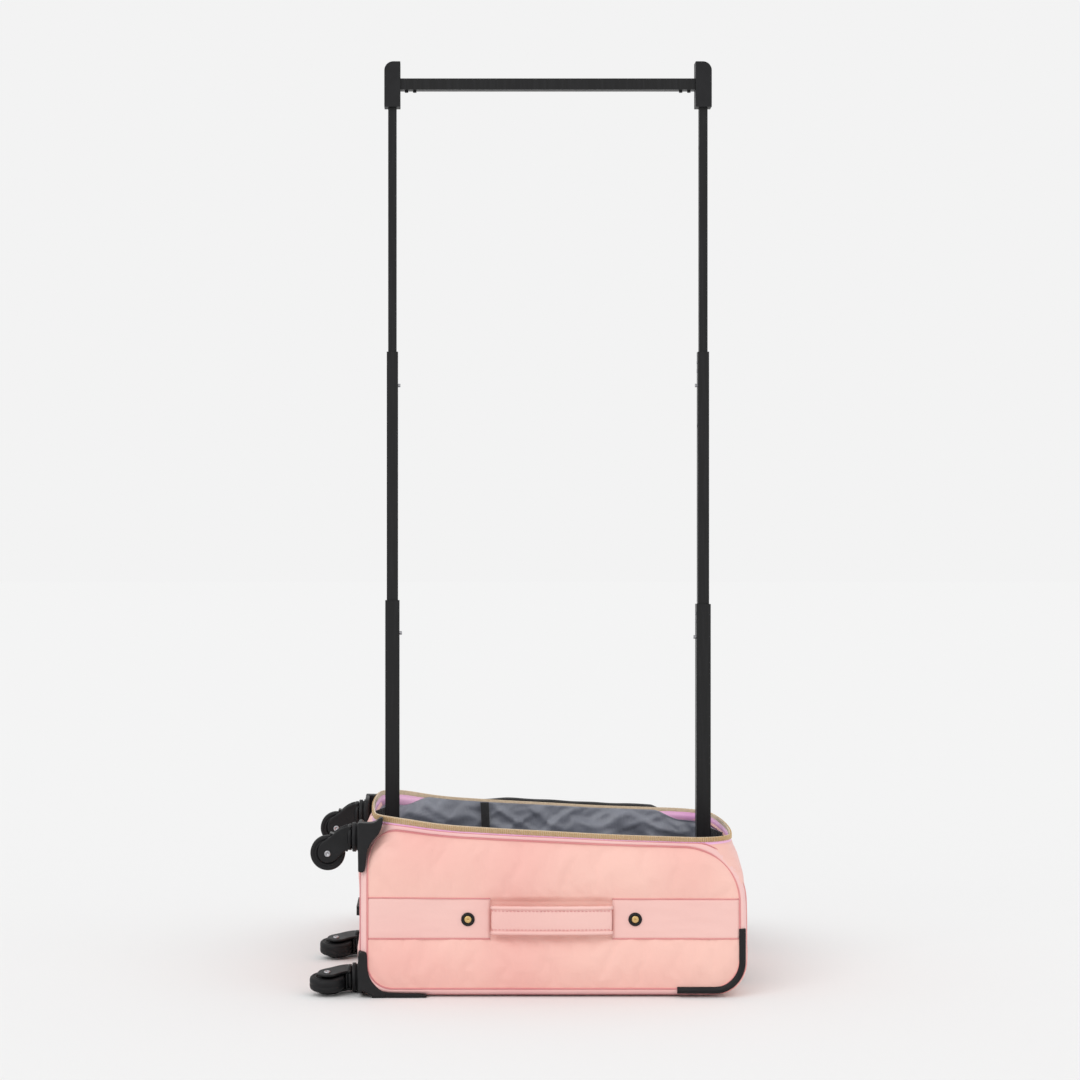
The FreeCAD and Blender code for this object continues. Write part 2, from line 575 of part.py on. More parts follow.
def rack():
    """Two posts of three square tubes each, joined by a crossbar in two end caps."""
    low_foot = BOARD_TOP + " + lining_thick + socket_floor + rest_gap"
    button_hole = "button_size + 2*run_gap"
    for name, sign in (("left", "-"), ("right", "")):
        centre = sign + POST
        low_button = "low_button_" + name
        square_tube(name + "_lower_tube", centre, "low_tube", low_foot, "low_top_" + name,
                    [(low_button, button_hole)])
        square_tube(name + "_middle_tube", centre, MID_TUBE, "mid_foot", "mid_top",
                    [(low_button, "lock_hole"), (low_button + " + mid_travel", "lock_hole"),
                     ("mid_button", button_hole)])
        square_tube(name + "_upper_tube", centre, TOP_TUBE, "top_foot", "bar_low",
                    [("mid_button", "lock_hole"), ("mid_button + top_travel", "lock_hole")])
        snap_button(name + "_lower_button", sign, "low_tube", low_button)
        snap_button(name + "_middle_button", sign, MID_TUBE, "mid_button")
    bar_half = "(%s - connector_size/2 + bar_socket)" % POST
    bar = block("bar_outside", ("-" + bar_half, "-bar_size/2", "bar_low"),
                (bar_half, "bar_size/2", "bar_low + bar_size"))
    hollow = block("bar_hollow", ("-%s - 1" % bar_half, "-bar_size/2 + tube_wall", "bar_low + tube_wall"),
                   (bar_half + " + 1", "bar_size/2 - tube_wall", "bar_low + bar_size - tube_wall"))
    node(cut("crossbar", bar, hollow))
    right = pad_outline("connector_blank", "XZ_Plane",
                        [(POST + " - connector_size/2", "connector_low"),
                         (POST + " + connector_size/2", "connector_low"),
                         (POST + " + connector_size/2", "connector_top", "connector_corner"),
                         (POST + " - connector_size/2", "connector_top")],
                        "connector_size", ("0", "connector_size/2", "0"))
    tube_socket = block("connector_bore",
                        ("%s - %s/2" % (POST, TOP_TUBE), "-%s/2" % TOP_TUBE, "connector_low - over"),
                        ("%s + %s/2" % (POST, TOP_TUBE), TOP_TUBE + "/2", "bar_low"))
    bar_socket = block("connector_side", (POST + " - connector_size/2 - 1", "-bar_size/2", "bar_low"),
                       (bar_half, "bar_size/2", "bar_low + bar_size"))
    right = cut("right_connector", right, tube_socket, bar_socket)
    left = doc.addObject("Part::Mirroring", "left_connector")
    left.Source = right
    left.Normal = V(1, 0, 0)
    node(group("rack_connectors", left, right))
    studs = [cylinder("stud_%s%s" % (side, spot), "stud_size", "stud_long",
                      ("%s(%s - stud_%s)" % (sign, POST, spot), "0", "bar_low - stud_long"), "z")
             for side, sign in (("left_", "-"), ("right_", "")) for spot in ("near", "far")]
    node(group("crossbar_studs", *studs))
    for name, width, top in (("lower", "low_tube", "low_top_right - rivet_below_low"),
                             ("middle", MID_TUBE, "mid_top - rivet_below_mid")):
        heads = [cylinder("%s_rivet_%d" % (name, step), "rivet_size", "rivet_proud",
                          ("%s - (%s)/2 - rivet_proud" % (POST, width), "0",
                           "%s - rivet_pitch*%d" % (top, step)),
                          "x") for step in range(2)]
        node(group(name + "_tube_rivets", *heads))


# ---------------------------------------------------------------- casters

def caster(name, side, height, swivel):
    """A fork on a stem, a wheel and its axle, all turned about the stem by the swivel angle."""
    turn = FreeCAD.Rotation(V(1, 0, 0), swivel)
    stand = FreeCAD.Placement(V(0, side * (sheet.case_width / 2 - sheet.caster_inset), height), turn)
    gap = "loose_gap"
    hub = COLLAR_FACE + " - wheel_reach"
    crown_face = "%s - %s - crown_thick" % (COLLAR_FACE, gap)
    crown = cylinder(name + "_crown", "crown_size", "crown_thick", (crown_face, "0", "0"), "x")
    stem = cylinder(name + "_stem", "stem_size", "stem_long + " + gap,
                    (COLLAR_FACE + " - " + gap, "0", "0"), "x")
    cheek_face = "(wheel_width/2 + wheel_gap)"
    cheeks = []
    for label, base in (("near", "-" + cheek_face), ("far", cheek_face + " + fork_wall")):
        outline = [(crown_face + " + crown_thick", "crown_size/2 - fork_shoulder"),
                   (crown_face + " + crown_thick", "-crown_size/2 + fork_heel"),
                   (hub, "-trail - fork_end"), (hub, "-trail + fork_end")]
        cheeks.append(pad_outline("%s_%s_cheek" % (name, label), "XZ_Plane", outline, "fork_wall",
                                  ("0", base, "0")))
        cheeks.append(cylinder("%s_%s_end" % (name, label), "fork_end*2", "fork_wall",
                               (hub, "%s - fork_wall" % base, "-trail"), "y"))
    fork = fuse(name + "_fork_body", crown, stem, *cheeks)
    reach = cheek_face + " + fork_wall"
    hole = cylinder(name + "_fork_hole", "axle_size", "2*(%s)" % reach, (hub, "-(%s)" % reach, "-trail"), "y")
    slot_size = "(wheel_size/2 + wheel_gap)"
    slot = cylinder(name + "_wheel_slot", "2*" + slot_size, "2*" + cheek_face,
                    (hub, "-" + cheek_face, "-trail"), "y")
    fork = cut(name + "_fork", fork, hole, slot)
    axle = fuse(name + "_axle",
                cylinder(name + "_pin", "axle_size", "2*(%s)" % reach, (hub, "-(%s)" % reach, "-trail"), "y"),
                cylinder(name + "_near_head", "axle_head", "axle_head_thick",
                         (hub, "-(%s) - axle_head_thick" % reach, "-trail"), "y"),
                cylinder(name + "_far_head", "axle_head", "axle_head_thick", (hub, reach, "-trail"), "y"))
    bore = "axle_size/2 + run_gap"
    edge = "wheel_size/2 - wheel_edge"
    half = "wheel_width/2"
    wheel = turned(name + "_wheel", [(bore, "-" + half), (edge, "-" + half),
                                     ("wheel_size/2", "-%s + wheel_edge" % half),
                                     ("wheel_size/2", "%s - wheel_edge" % half), (edge, half), (bore, half)])
    hub_point = V(-sheet.case_length / 2 - sheet.collar_proud - sheet.wheel_reach, 0, -sheet.trail)
    fork.Placement = stand
    axle.Placement = stand
    wheel.Placement = stand.multiply(FreeCAD.Placement(hub_point, FreeCAD.Rotation()))
    for piece in (fork, axle, wheel):
        node(piece)


# ---------------------------------------------------------------- lid

def lid():
    """The front panel, opened past the far side; it is drawn closed and then turned about its hinge."""
    slope = math.degrees(math.atan((sheet.foot_rim - sheet.head_rim) / sheet.case_length))
    hinge_high = (sheet.foot_rim + sheet.head_rim) / 2 - sheet.hinge_drop
    stand = FreeCAD.Placement(V(0, sheet.case_width / 2 + sheet.hinge_out, hinge_high),
                              FreeCAD.Rotation(V(0, 1, 0), slope).multiply(
                                  FreeCAD.Rotation(V(1, 0, 0), -sheet.lid_angle)))

    def plate(name, inset, low, high):
        far = "(case_length - lid_margin)/2 - (%s)" % inset
        near_edge = "-lid_start - (%s)" % inset
        free_edge = "-lid_start - (case_width - lid_short) + (%s)" % inset
        corners = [("-(%s)" % far, free_edge, "lid_corner - (%s)" % inset),
                   (far, free_edge, "lid_corner - (%s)" % inset),
                   (far, near_edge, "lid_corner - (%s)" % inset),
                   ("-(%s)" % far, near_edge, "lid_corner - (%s)" % inset)]
        return pad_outline(name, "XY_Plane", corners, "(%s) - (%s)" % (high, low), ("0", "0", low))

    panel = group("lid_panel", plate("lid_panel_plate", "piping_proud", "0", "lid_thick"))
    cord_low, cord_high = "lid_thick - piping_width - lid_edge", "lid_thick - lid_edge"
    piping = cut("lid_piping", plate("lid_piping_out", "0", cord_low, cord_high),
                 plate("lid_piping_in", "piping_proud", cord_low, cord_high))
    zipper = cut("lid_zipper", plate("lid_zipper_out", "piping_proud + lid_edge", "-zip_tall", "0"),
                 plate("lid_zipper_in", "piping_proud + lid_edge + zip_thick", "-zip_tall", "0"))
    for piece in (panel, piping, zipper):
        piece.Placement = stand
        node(piece)
    side = "case_width/2 + piping_proud + loose_gap"
    node(block("lid_hinge_tape", ("-tape_half", side, rim("0", "hinge_drop + tape_foot")),
               ("tape_half", side + " + tape_thick", rim("0", "hinge_drop + tape_head"))))


# ---------------------------------------------------------------- assembly

padded_panels()
rim_and_piping()
bands_and_handles()
corner_guards_and_housings(outside_tub())
lining_and_sockets()
trolley()
rack()
for end, height, swivel in (("upper", sheet.high_caster, 0.0),
                            ("lower", sheet.low_caster, -sheet.low_swivel)):
    caster("near_%s" % end, -1, height, swivel)
    caster("far_%s" % end, 1, height, swivel)
lid()
doc.recompute()

broken = [item.Name for item in doc.Objects if {"Invalid", "Error"} & set(item.State)]
broken += [name for name, item in nodes.items() if item.Shape.isNull() or not item.Shape.isValid()]
if broken:
    raise SystemExit("these failed to build: " + ", ".join(broken))
os.makedirs("parts", exist_ok=True)
for name, item in nodes.items():
    item.Shape.exportStep("parts/%s.step" % name)
print(len(nodes), "nodes written")
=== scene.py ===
"""The looks of a soft carry-on case that lies open on its back with a garment rack standing in it."""

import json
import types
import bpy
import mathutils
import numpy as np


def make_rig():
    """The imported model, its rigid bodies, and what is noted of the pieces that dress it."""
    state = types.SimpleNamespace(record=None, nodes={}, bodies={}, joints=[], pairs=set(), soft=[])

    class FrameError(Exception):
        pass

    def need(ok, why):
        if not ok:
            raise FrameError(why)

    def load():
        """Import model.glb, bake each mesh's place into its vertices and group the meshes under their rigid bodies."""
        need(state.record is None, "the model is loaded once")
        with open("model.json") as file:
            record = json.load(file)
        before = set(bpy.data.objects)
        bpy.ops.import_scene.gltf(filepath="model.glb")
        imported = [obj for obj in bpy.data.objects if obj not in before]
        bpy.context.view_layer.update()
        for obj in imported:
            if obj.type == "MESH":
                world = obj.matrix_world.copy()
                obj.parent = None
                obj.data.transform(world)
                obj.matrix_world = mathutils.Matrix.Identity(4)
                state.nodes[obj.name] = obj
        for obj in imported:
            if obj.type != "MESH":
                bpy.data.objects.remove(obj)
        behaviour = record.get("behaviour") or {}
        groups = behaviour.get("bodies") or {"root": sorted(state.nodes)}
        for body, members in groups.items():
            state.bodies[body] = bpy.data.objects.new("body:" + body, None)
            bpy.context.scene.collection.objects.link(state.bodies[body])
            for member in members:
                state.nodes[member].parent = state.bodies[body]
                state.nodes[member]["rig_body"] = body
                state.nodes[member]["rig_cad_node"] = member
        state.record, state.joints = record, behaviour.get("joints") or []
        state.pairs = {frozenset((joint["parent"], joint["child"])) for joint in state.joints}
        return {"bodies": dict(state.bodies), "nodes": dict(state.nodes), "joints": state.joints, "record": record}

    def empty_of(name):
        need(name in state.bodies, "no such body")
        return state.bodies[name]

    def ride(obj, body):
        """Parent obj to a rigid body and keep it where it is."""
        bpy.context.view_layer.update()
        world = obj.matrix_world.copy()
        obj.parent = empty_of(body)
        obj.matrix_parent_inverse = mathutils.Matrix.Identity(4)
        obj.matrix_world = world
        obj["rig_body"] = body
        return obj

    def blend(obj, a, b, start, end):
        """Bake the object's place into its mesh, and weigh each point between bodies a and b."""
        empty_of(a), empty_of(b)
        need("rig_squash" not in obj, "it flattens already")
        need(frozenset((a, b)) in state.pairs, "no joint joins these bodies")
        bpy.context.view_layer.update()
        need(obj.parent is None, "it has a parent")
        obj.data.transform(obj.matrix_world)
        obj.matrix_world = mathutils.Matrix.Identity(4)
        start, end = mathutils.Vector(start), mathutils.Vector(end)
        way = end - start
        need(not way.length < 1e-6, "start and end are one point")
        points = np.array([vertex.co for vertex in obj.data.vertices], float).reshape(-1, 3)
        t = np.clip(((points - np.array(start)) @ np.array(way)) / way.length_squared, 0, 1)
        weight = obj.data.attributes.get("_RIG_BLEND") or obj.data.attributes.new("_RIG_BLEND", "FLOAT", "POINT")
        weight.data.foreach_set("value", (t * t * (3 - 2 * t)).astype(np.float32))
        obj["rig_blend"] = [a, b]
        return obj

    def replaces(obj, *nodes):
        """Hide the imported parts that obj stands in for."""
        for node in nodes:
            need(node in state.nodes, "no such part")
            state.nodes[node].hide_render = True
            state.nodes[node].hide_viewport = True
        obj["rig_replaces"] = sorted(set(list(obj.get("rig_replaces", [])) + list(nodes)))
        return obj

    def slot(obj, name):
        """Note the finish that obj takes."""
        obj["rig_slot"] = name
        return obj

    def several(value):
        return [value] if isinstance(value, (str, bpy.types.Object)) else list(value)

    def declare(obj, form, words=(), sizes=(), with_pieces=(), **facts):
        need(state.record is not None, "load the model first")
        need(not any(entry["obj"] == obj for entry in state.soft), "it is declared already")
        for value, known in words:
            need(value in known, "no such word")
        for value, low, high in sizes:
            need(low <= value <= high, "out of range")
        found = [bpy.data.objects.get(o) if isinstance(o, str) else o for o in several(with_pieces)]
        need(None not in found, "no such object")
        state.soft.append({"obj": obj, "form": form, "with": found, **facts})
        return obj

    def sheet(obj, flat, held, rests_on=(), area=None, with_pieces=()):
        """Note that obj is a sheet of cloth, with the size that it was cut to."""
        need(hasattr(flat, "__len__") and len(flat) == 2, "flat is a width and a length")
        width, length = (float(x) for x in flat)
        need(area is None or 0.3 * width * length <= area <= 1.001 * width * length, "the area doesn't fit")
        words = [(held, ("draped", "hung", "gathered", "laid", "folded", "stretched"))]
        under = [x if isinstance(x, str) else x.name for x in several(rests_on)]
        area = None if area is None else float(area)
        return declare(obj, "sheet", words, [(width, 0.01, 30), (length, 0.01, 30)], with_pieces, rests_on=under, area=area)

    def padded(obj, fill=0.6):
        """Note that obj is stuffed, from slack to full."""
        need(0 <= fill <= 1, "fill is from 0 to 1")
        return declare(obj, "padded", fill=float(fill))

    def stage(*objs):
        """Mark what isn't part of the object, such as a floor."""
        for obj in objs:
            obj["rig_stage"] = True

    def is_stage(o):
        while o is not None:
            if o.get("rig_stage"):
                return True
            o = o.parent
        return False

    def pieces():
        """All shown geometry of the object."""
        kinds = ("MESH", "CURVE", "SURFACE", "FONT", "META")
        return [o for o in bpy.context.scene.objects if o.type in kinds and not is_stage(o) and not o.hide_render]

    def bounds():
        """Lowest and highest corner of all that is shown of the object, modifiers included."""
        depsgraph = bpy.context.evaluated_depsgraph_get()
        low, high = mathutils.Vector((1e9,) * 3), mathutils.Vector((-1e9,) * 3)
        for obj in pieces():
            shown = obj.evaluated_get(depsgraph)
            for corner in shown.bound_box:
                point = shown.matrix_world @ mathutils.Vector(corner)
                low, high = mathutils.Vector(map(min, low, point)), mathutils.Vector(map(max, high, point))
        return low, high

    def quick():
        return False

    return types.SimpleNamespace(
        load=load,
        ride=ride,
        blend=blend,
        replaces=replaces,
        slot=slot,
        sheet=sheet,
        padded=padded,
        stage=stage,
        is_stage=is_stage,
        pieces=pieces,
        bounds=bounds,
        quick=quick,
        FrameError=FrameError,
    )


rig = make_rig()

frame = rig.load()

import json
import math

import bmesh
import bpy
from mathutils import Matrix, Vector, noise

cad_bounds = [list(corner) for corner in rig.bounds()]
MM = 0.001
UP = Vector((0, 0, 1))

# Outline of the case in millimetres, on the frame's axes.  Heights are nominal: lift() raises the upper
# part of the walls to the rim's real, sloping line.
BACK = 3.0
RIM = 210.0
LEVEL = 120.0
HALF_LENGTH = 247.0
HALF_WIDTH = 174.6
FOOT_ROUND = 32.0
HEAD_ROUND = 38.0
EDGE_ROUND = 11.0
FOOT_BOW, HEAD_BOW = 9, 15
RIM_POINTS = ((-247, 231), (-210, 231), (-144, 220), (-60, 214.5), (0, 211.5), (79, 207), (186, 203.5),
              (247, 202.5))
RIM_END, RIM_STEP = 260, 4


# ---------------------------------------------------------------- geometry helpers

def smooth(low, high, value):
    """0 below low, 1 above high, and a smooth step between."""
    share = min(1.0, max(0.0, (value - low) / (high - low)))
    return share * share * (3 - 2 * share)


def mix(start, end, share):
    return start + (end - start) * share


def rim_height(x):
    """Height of the zip line at a place along the case, on straight lines through RIM_POINTS."""
    x = min(RIM_POINTS[-1][0], max(RIM_POINTS[0][0], x))
    for (x0, z0), (x1, z1) in zip(RIM_POINTS, RIM_POINTS[1:]):
        if x <= x1:
            return mix(z0, z1, (x - x0) / (x1 - x0))
    return RIM_POINTS[-1][1]


RIM_SHIFTS = range(-28, 29, 4)
SOFT_RIM = [sum(rim_height(x + shift) for shift in RIM_SHIFTS) / len(RIM_SHIFTS)
            for x in range(-RIM_END, RIM_END + 1, RIM_STEP)]


def rim_line(x):
    """Height of the zip line with its corners smoothed."""
    place = (min(RIM_END - 0.1, max(0.1 - RIM_END, x)) + RIM_END) / RIM_STEP
    index = int(place)
    return mix(SOFT_RIM[index], SOFT_RIM[index + 1], place - index)


def lift(x, level):
    """Real height of a nominal level at a place along the case."""
    if level <= LEVEL:
        return level
    return LEVEL + (level - LEVEL) * (rim_line(x) - LEVEL) / (RIM - LEVEL)


def drop(x, height):
    """Nominal level of a real height: the inverse of lift()."""
    if height <= LEVEL:
        return height
    return LEVEL + (height - LEVEL) * (RIM - LEVEL) / (rim_line(x) - LEVEL)


def corner_inset(level, radius):
    """How far a rounded lower edge stands in at a level."""
    rise = level - BACK
    if rise >= radius:
        return 0.0
    return radius - math.sqrt(max(0.0, radius ** 2 - (radius - rise) ** 2))


def extents(level):
    """(foot x, head x, half width, plan corner radius) of the outer surface at a nominal level."""
    foot = HALF_LENGTH - corner_inset(level, FOOT_ROUND) - 12 * smooth(158, 206, level)
    head = HALF_LENGTH - corner_inset(level, HEAD_ROUND) - 8 * smooth(118, 206, level)
    width = HALF_WIDTH - corner_inset(level, EDGE_ROUND) - 3.5 * smooth(150, 206, level)
    radius = mix(12, 50, smooth(95, 203, level))
    return -foot, head, width, radius


def foot_radius(level):
    """Plan radius of the two corners at the foot, which stay squarer than the head's."""
    return mix(12, 40, smooth(140, 208, level))


LONG_STEPS = 110
SHORT_STEPS = 76
ARC_STEPS = 12


def plan_ring(level, inset=0.0, long_steps=LONG_STEPS, short_steps=SHORT_STEPS, arc_steps=ARC_STEPS):
    """Points (x, y, outward x, outward y) round the case at a level, anticlockwise from the near foot corner."""
    foot, head, width, radius = extents(level)
    foot, head, width = foot + inset, head - inset, width - inset
    near_head = max(2.0, radius - inset)
    near_foot = max(2.0, foot_radius(level) - inset)
    centres = ((foot + near_foot, -width + near_foot, 180), (head - near_head, -width + near_head, 270),
               (head - near_head, width - near_head, 0), (foot + near_foot, width - near_foot, 90))
    radii = (near_foot, near_head, near_head, near_foot)
    points = []
    for index, (cx, cy, start) in enumerate(centres):
        radius, next_radius = radii[index], radii[(index + 1) % 4]
        for step in range(arc_steps + 1):
            angle = math.radians(start + 90 * step / arc_steps)
            out = (math.cos(angle), math.sin(angle))
            points.append((cx + radius * out[0], cy + radius * out[1], out[0], out[1]))
        nx, ny, _ = centres[(index + 1) % 4]
        steps = long_steps if index % 2 == 0 else short_steps
        end = math.radians(start + 90)
        out = (math.cos(end), math.sin(end))
        for step in range(1, steps):
            share = step / steps
            points.append((mix(cx + radius * out[0], nx + next_radius * out[0], share),
                           mix(cy + radius * out[1], ny + next_radius * out[1], share), *out))
    return [(bowed(x, y, level), y, out_x, out_y) for x, y, out_x, out_y in points]


def end_bow(x, level):
    """How far the corners of an end wall stand back, because it bows outward near the mouth."""
    return (HEAD_BOW if x > 0 else FOOT_BOW) * smooth(140, 206, level)


def bowed(x, y, level):
    """Where a point of the plan stands once the end walls bow."""
    bow = end_bow(x, level) * (abs(y) / HALF_WIDTH) ** 2.2
    return x - math.copysign(bow, x) * smooth(110, 236, abs(x))


def side_y(x, level):
    """How far the near or far face stands from the middle plane at a place on it."""
    foot, head, width, radius = extents(level)
    bow = end_bow(x, level) * smooth(110, 236, abs(x))
    if x < 0:
        radius = foot_radius(level)
    over = max(0.0, (foot + radius) - x + bow, x + bow - (head - radius))
    over = min(over, radius * 0.97)
    return width - radius + math.sqrt(radius ** 2 - over ** 2)


def make(name, points, faces, materials, body="case", shade=True):
    """A mesh object from points in millimetres."""
    mesh = bpy.data.meshes.new(name)
    mesh.from_pydata([Vector(point) * MM for point in points], [], faces)
    mesh.update()
    piece = bpy.data.objects.new(name, mesh)
    bpy.context.scene.collection.objects.link(piece)
    for material in materials if isinstance(materials, (list, tuple)) else [materials]:
        mesh.materials.append(material)
    if shade:
        mesh.polygons.foreach_set("use_smooth", [True] * len(mesh.polygons))
    if body:
        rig.ride(piece, body)
    return piece


def loft(rings, closed=True):
    """Quads between equal rings of points; closed rings join their ends."""
    count = len(rings[0])
    faces = []
    for row in range(len(rings) - 1):
        for step in range(count if closed else count - 1):
            after = (step + 1) % count
            low, high = row * count, (row + 1) * count
            faces.append((low + step, low + after, high + after, high + step))
    return [point for ring in rings for point in ring], faces


def sweep(path, normals, section, closed=True):
    """A tube whose section (across, out) follows a path; normals say which way out is."""
    rings = []
    count = len(path)
    for index, (point, normal) in enumerate(zip(path, normals)):
        before = path[index - 1] if closed or index else path[index]
        after = path[(index + 1) % count] if closed or index < count - 1 else path[index]
        tangent = (Vector(after) - Vector(before)).normalized()
        out = Vector(normal)
        out = (out - tangent * out.dot(tangent)).normalized()
        across = tangent.cross(out)
        rings.append([Vector(point) + across * u + out * v for u, v in section])
    points, faces = loft(rings)
    width = len(section)
    last = (count - 1) * width
    if closed:
        faces += [(last + s, last + (s + 1) % width, (s + 1) % width, s) for s in range(width)]
    else:
        faces.append(tuple(reversed(range(width))))
        faces.append(tuple(last + s for s in range(width)))
    return points, faces


def grid(columns, rows, place):
    """The points place(column, row) of a patch, and its quads."""
    points = [place(column, row) for column in range(columns + 1) for row in range(rows + 1)]
    faces = []
    for column in range(columns):
        for row in range(rows):
            first = column * (rows + 1) + row
            faces.append((first, first + rows + 1, first + rows + 2, first + 1))
    return points, faces


def circle(radius, count=10, flat=1.0):
    return [(radius * math.cos(math.tau * i / count), radius * flat * math.sin(math.tau * i / count))
            for i in range(count)]


def fix_normals(piece):
    mesh = bmesh.new()
    mesh.from_mesh(piece.data)
    bmesh.ops.recalc_face_normals(mesh, faces=mesh.faces)
    mesh.to_mesh(piece.data)
    mesh.free()
    return piece


def add_modifier(piece, kind, **settings):
    modifier = piece.modifiers.new(kind.title(), kind)
    for key, value in settings.items():
        setattr(modifier, key, value)
    return modifier


def bevel(piece, width, angle, **settings):
    """Rounds the edges sharper than an angle in degrees, by a width in millimetres."""
    add_modifier(piece, "BEVEL", width=width * MM, limit_method="ANGLE", angle_limit=math.radians(angle), **settings)


def rounded_outline(corners, step=4.0):
    """Evenly spaced points round a closed outline; each corner is (across, up, radius)."""
    points = []
    count = len(corners)
    for index, (x, z, radius) in enumerate(corners):
        here = Vector((x, z))
        before = (Vector(corners[index - 1][:2]) - here).normalized()
        after = (Vector(corners[(index + 1) % count][:2]) - here).normalized()
        half = before.angle(after) / 2
        reach = radius / math.tan(half)
        centre = here + (before + after).normalized() * radius / math.sin(half)
        start, end = here + before * reach - centre, here + after * reach - centre
        turn = start.angle_signed(end)
        steps = max(3, int(abs(turn) * radius / step))
        for number in range(steps + 1):
            share = number / steps
            angle = -turn * share
            spoke = Vector((start.x * math.cos(angle) - start.y * math.sin(angle),
                            start.x * math.sin(angle) + start.y * math.cos(angle)))
            points.append(centre + spoke)
    dense = []
    for start, end in zip(points, points[1:] + points[:1]):
        steps = max(1, int((end - start).length / step))
        dense += [start.lerp(end, number / steps) for number in range(steps)]
    return dense


# ---------------------------------------------------------------- materials

def nodes_of(name, base, roughness, **sockets):
    """A Principled material and its node tree."""
    material = bpy.data.materials.new(name)
    material.use_nodes = True
    tree = material.node_tree
    shader = tree.nodes["Principled BSDF"]
    shader.inputs["Base Color"].default_value = (*base, 1)
    shader.inputs["Roughness"].default_value = roughness
    for key, value in sockets.items():
        shader.inputs[key.replace("_", " ")].default_value = value
    return material, tree, shader


def srgb(red, green, blue):
    """A colour given in 0-255 display values, as Blender's linear values."""
    def linear(value):
        value /= 255
        return value / 12.92 if value <= 0.04045 else ((value + 0.055) / 1.055) ** 2.4
    return tuple(linear(value) for value in (red, green, blue))


def add(tree, kind, **inputs):
    node = tree.nodes.new("ShaderNode" + kind)
    for key, value in inputs.items():
        node.inputs[key.replace("_", " ")].default_value = value
    return node


def object_place(tree, scale=(1, 1, 1)):
    """Object coordinates, stretched by scale."""
    coordinates = tree.nodes.new("ShaderNodeTexCoord")
    mapping = add(tree, "Mapping", Scale=scale)
    tree.links.new(coordinates.outputs["Object"], mapping.inputs["Vector"])
    return mapping.outputs["Vector"]


def noise_at(tree, place, size, detail=3.0, roughness=0.5):
    """Noise whose features are about size metres across."""
    texture = add(tree, "TexNoise", Scale=1 / size, Detail=detail, Roughness=roughness)
    tree.links.new(place, texture.inputs["Vector"])
    return texture.outputs["Fac"]


def ramp(tree, factor, stops):
    """Colours along a factor; stops are (position, linear colour)."""
    node = tree.nodes.new("ShaderNodeValToRGB")
    elements = node.color_ramp.elements
    while len(elements) < len(stops):
        elements.new(0.5)
    for element, (position, color) in zip(elements, stops):
        element.position = position
        element.color = (*color, 1) if len(color) == 3 else color
    tree.links.new(factor, node.inputs["Fac"])
    return node.outputs["Color"]


def grey(value):
    return (value, value, value)


def paint(tree, shader, socket, factor, *stops):
    """Links a ramp along a factor to one of the shader's sockets."""
    tree.links.new(ramp(tree, factor, stops), shader.inputs[socket])


def weave_height(tree, place, pitch):
    """Height of a plain weave: two crossed sets of threads."""
    bands = []
    for direction in ("X", "Y", "Z"):
        wave = add(tree, "TexWave", Scale=1 / (pitch * 3.2), Distortion=0.6, Detail=1.0)
        wave.bands_direction = direction
        tree.links.new(place, wave.inputs["Vector"])
        bands.append(wave.outputs["Fac"])
    total = bands[0]
    for other in bands[1:]:
        math_node = tree.nodes.new("ShaderNodeMath")
        math_node.operation = "ADD"
        tree.links.new(total, math_node.inputs[0])
        tree.links.new(other, math_node.inputs[1])
        total = math_node.outputs[0]
    return total


def bump(tree, shader, *layers):
    """Chains bump layers of (height, strength, distance in metres) into the shader's normal."""
    normal = None
    for height, strength, distance in layers:
        node = add(tree, "Bump", Strength=strength, Distance=distance)
        tree.links.new(height, node.inputs["Height"])
        if normal is not None:
            tree.links.new(normal, node.inputs["Normal"])
        normal = node.outputs["Normal"]
    tree.links.new(normal, shader.inputs["Normal"])


def coated_fabric(name, low, high, weave=0.0009, sheen=0.35, gloss=0.42):
    """Pearly coated cloth: cloudy colour, fine weave, soft folds and a lilac sheen."""
    material, tree, shader = nodes_of(name, high, gloss, Sheen_Weight=sheen, Sheen_Roughness=0.45,
                                      Coat_Weight=0.16, Coat_Roughness=0.32, Specular_IOR_Level=0.42)
    shader.inputs["Sheen Tint"].default_value = (*srgb(255, 196, 240), 1)
    place = object_place(tree)
    cloud = noise_at(tree, place, 0.16, 1.0)
    paint(tree, shader, "Base Color", cloud, (0.32, low), (0.68, high))
    fine = noise_at(tree, place, 0.004, 3.0)
    paint(tree, shader, "Roughness", fine, (0.3, grey(gloss - 0.07)), (0.7, grey(gloss + 0.09)))
    folds = noise_at(tree, object_place(tree, (1, 1, 1.5)), 0.05, 2.0)
    bump(tree, shader, (folds, 0.25, 0.004), (weave_height(tree, place, weave), 0.22, 0.00018),
         (fine, 0.12, 0.0004))
    return material


def lining_cloth(name):
    """Grey polyester: a fine weave, a satin sheen and faint creases."""
    material, tree, shader = nodes_of(name, srgb(128, 131, 141), 0.30, Sheen_Weight=0.1, Sheen_Roughness=0.5,
                                      Specular_IOR_Level=0.45)
    place = object_place(tree)
    cloud = noise_at(tree, place, 0.05, 3.0)
    paint(tree, shader, "Base Color", cloud, (0.3, srgb(118, 121, 131)), (0.7, srgb(144, 147, 157)))
    crease = noise_at(tree, object_place(tree, (1.6, 1.6, 0.7)), 0.02, 4.0, 0.6)
    bump(tree, shader, (crease, 0.5, 0.0025), (weave_height(tree, place, 0.0006), 0.25, 0.00012))
    return material


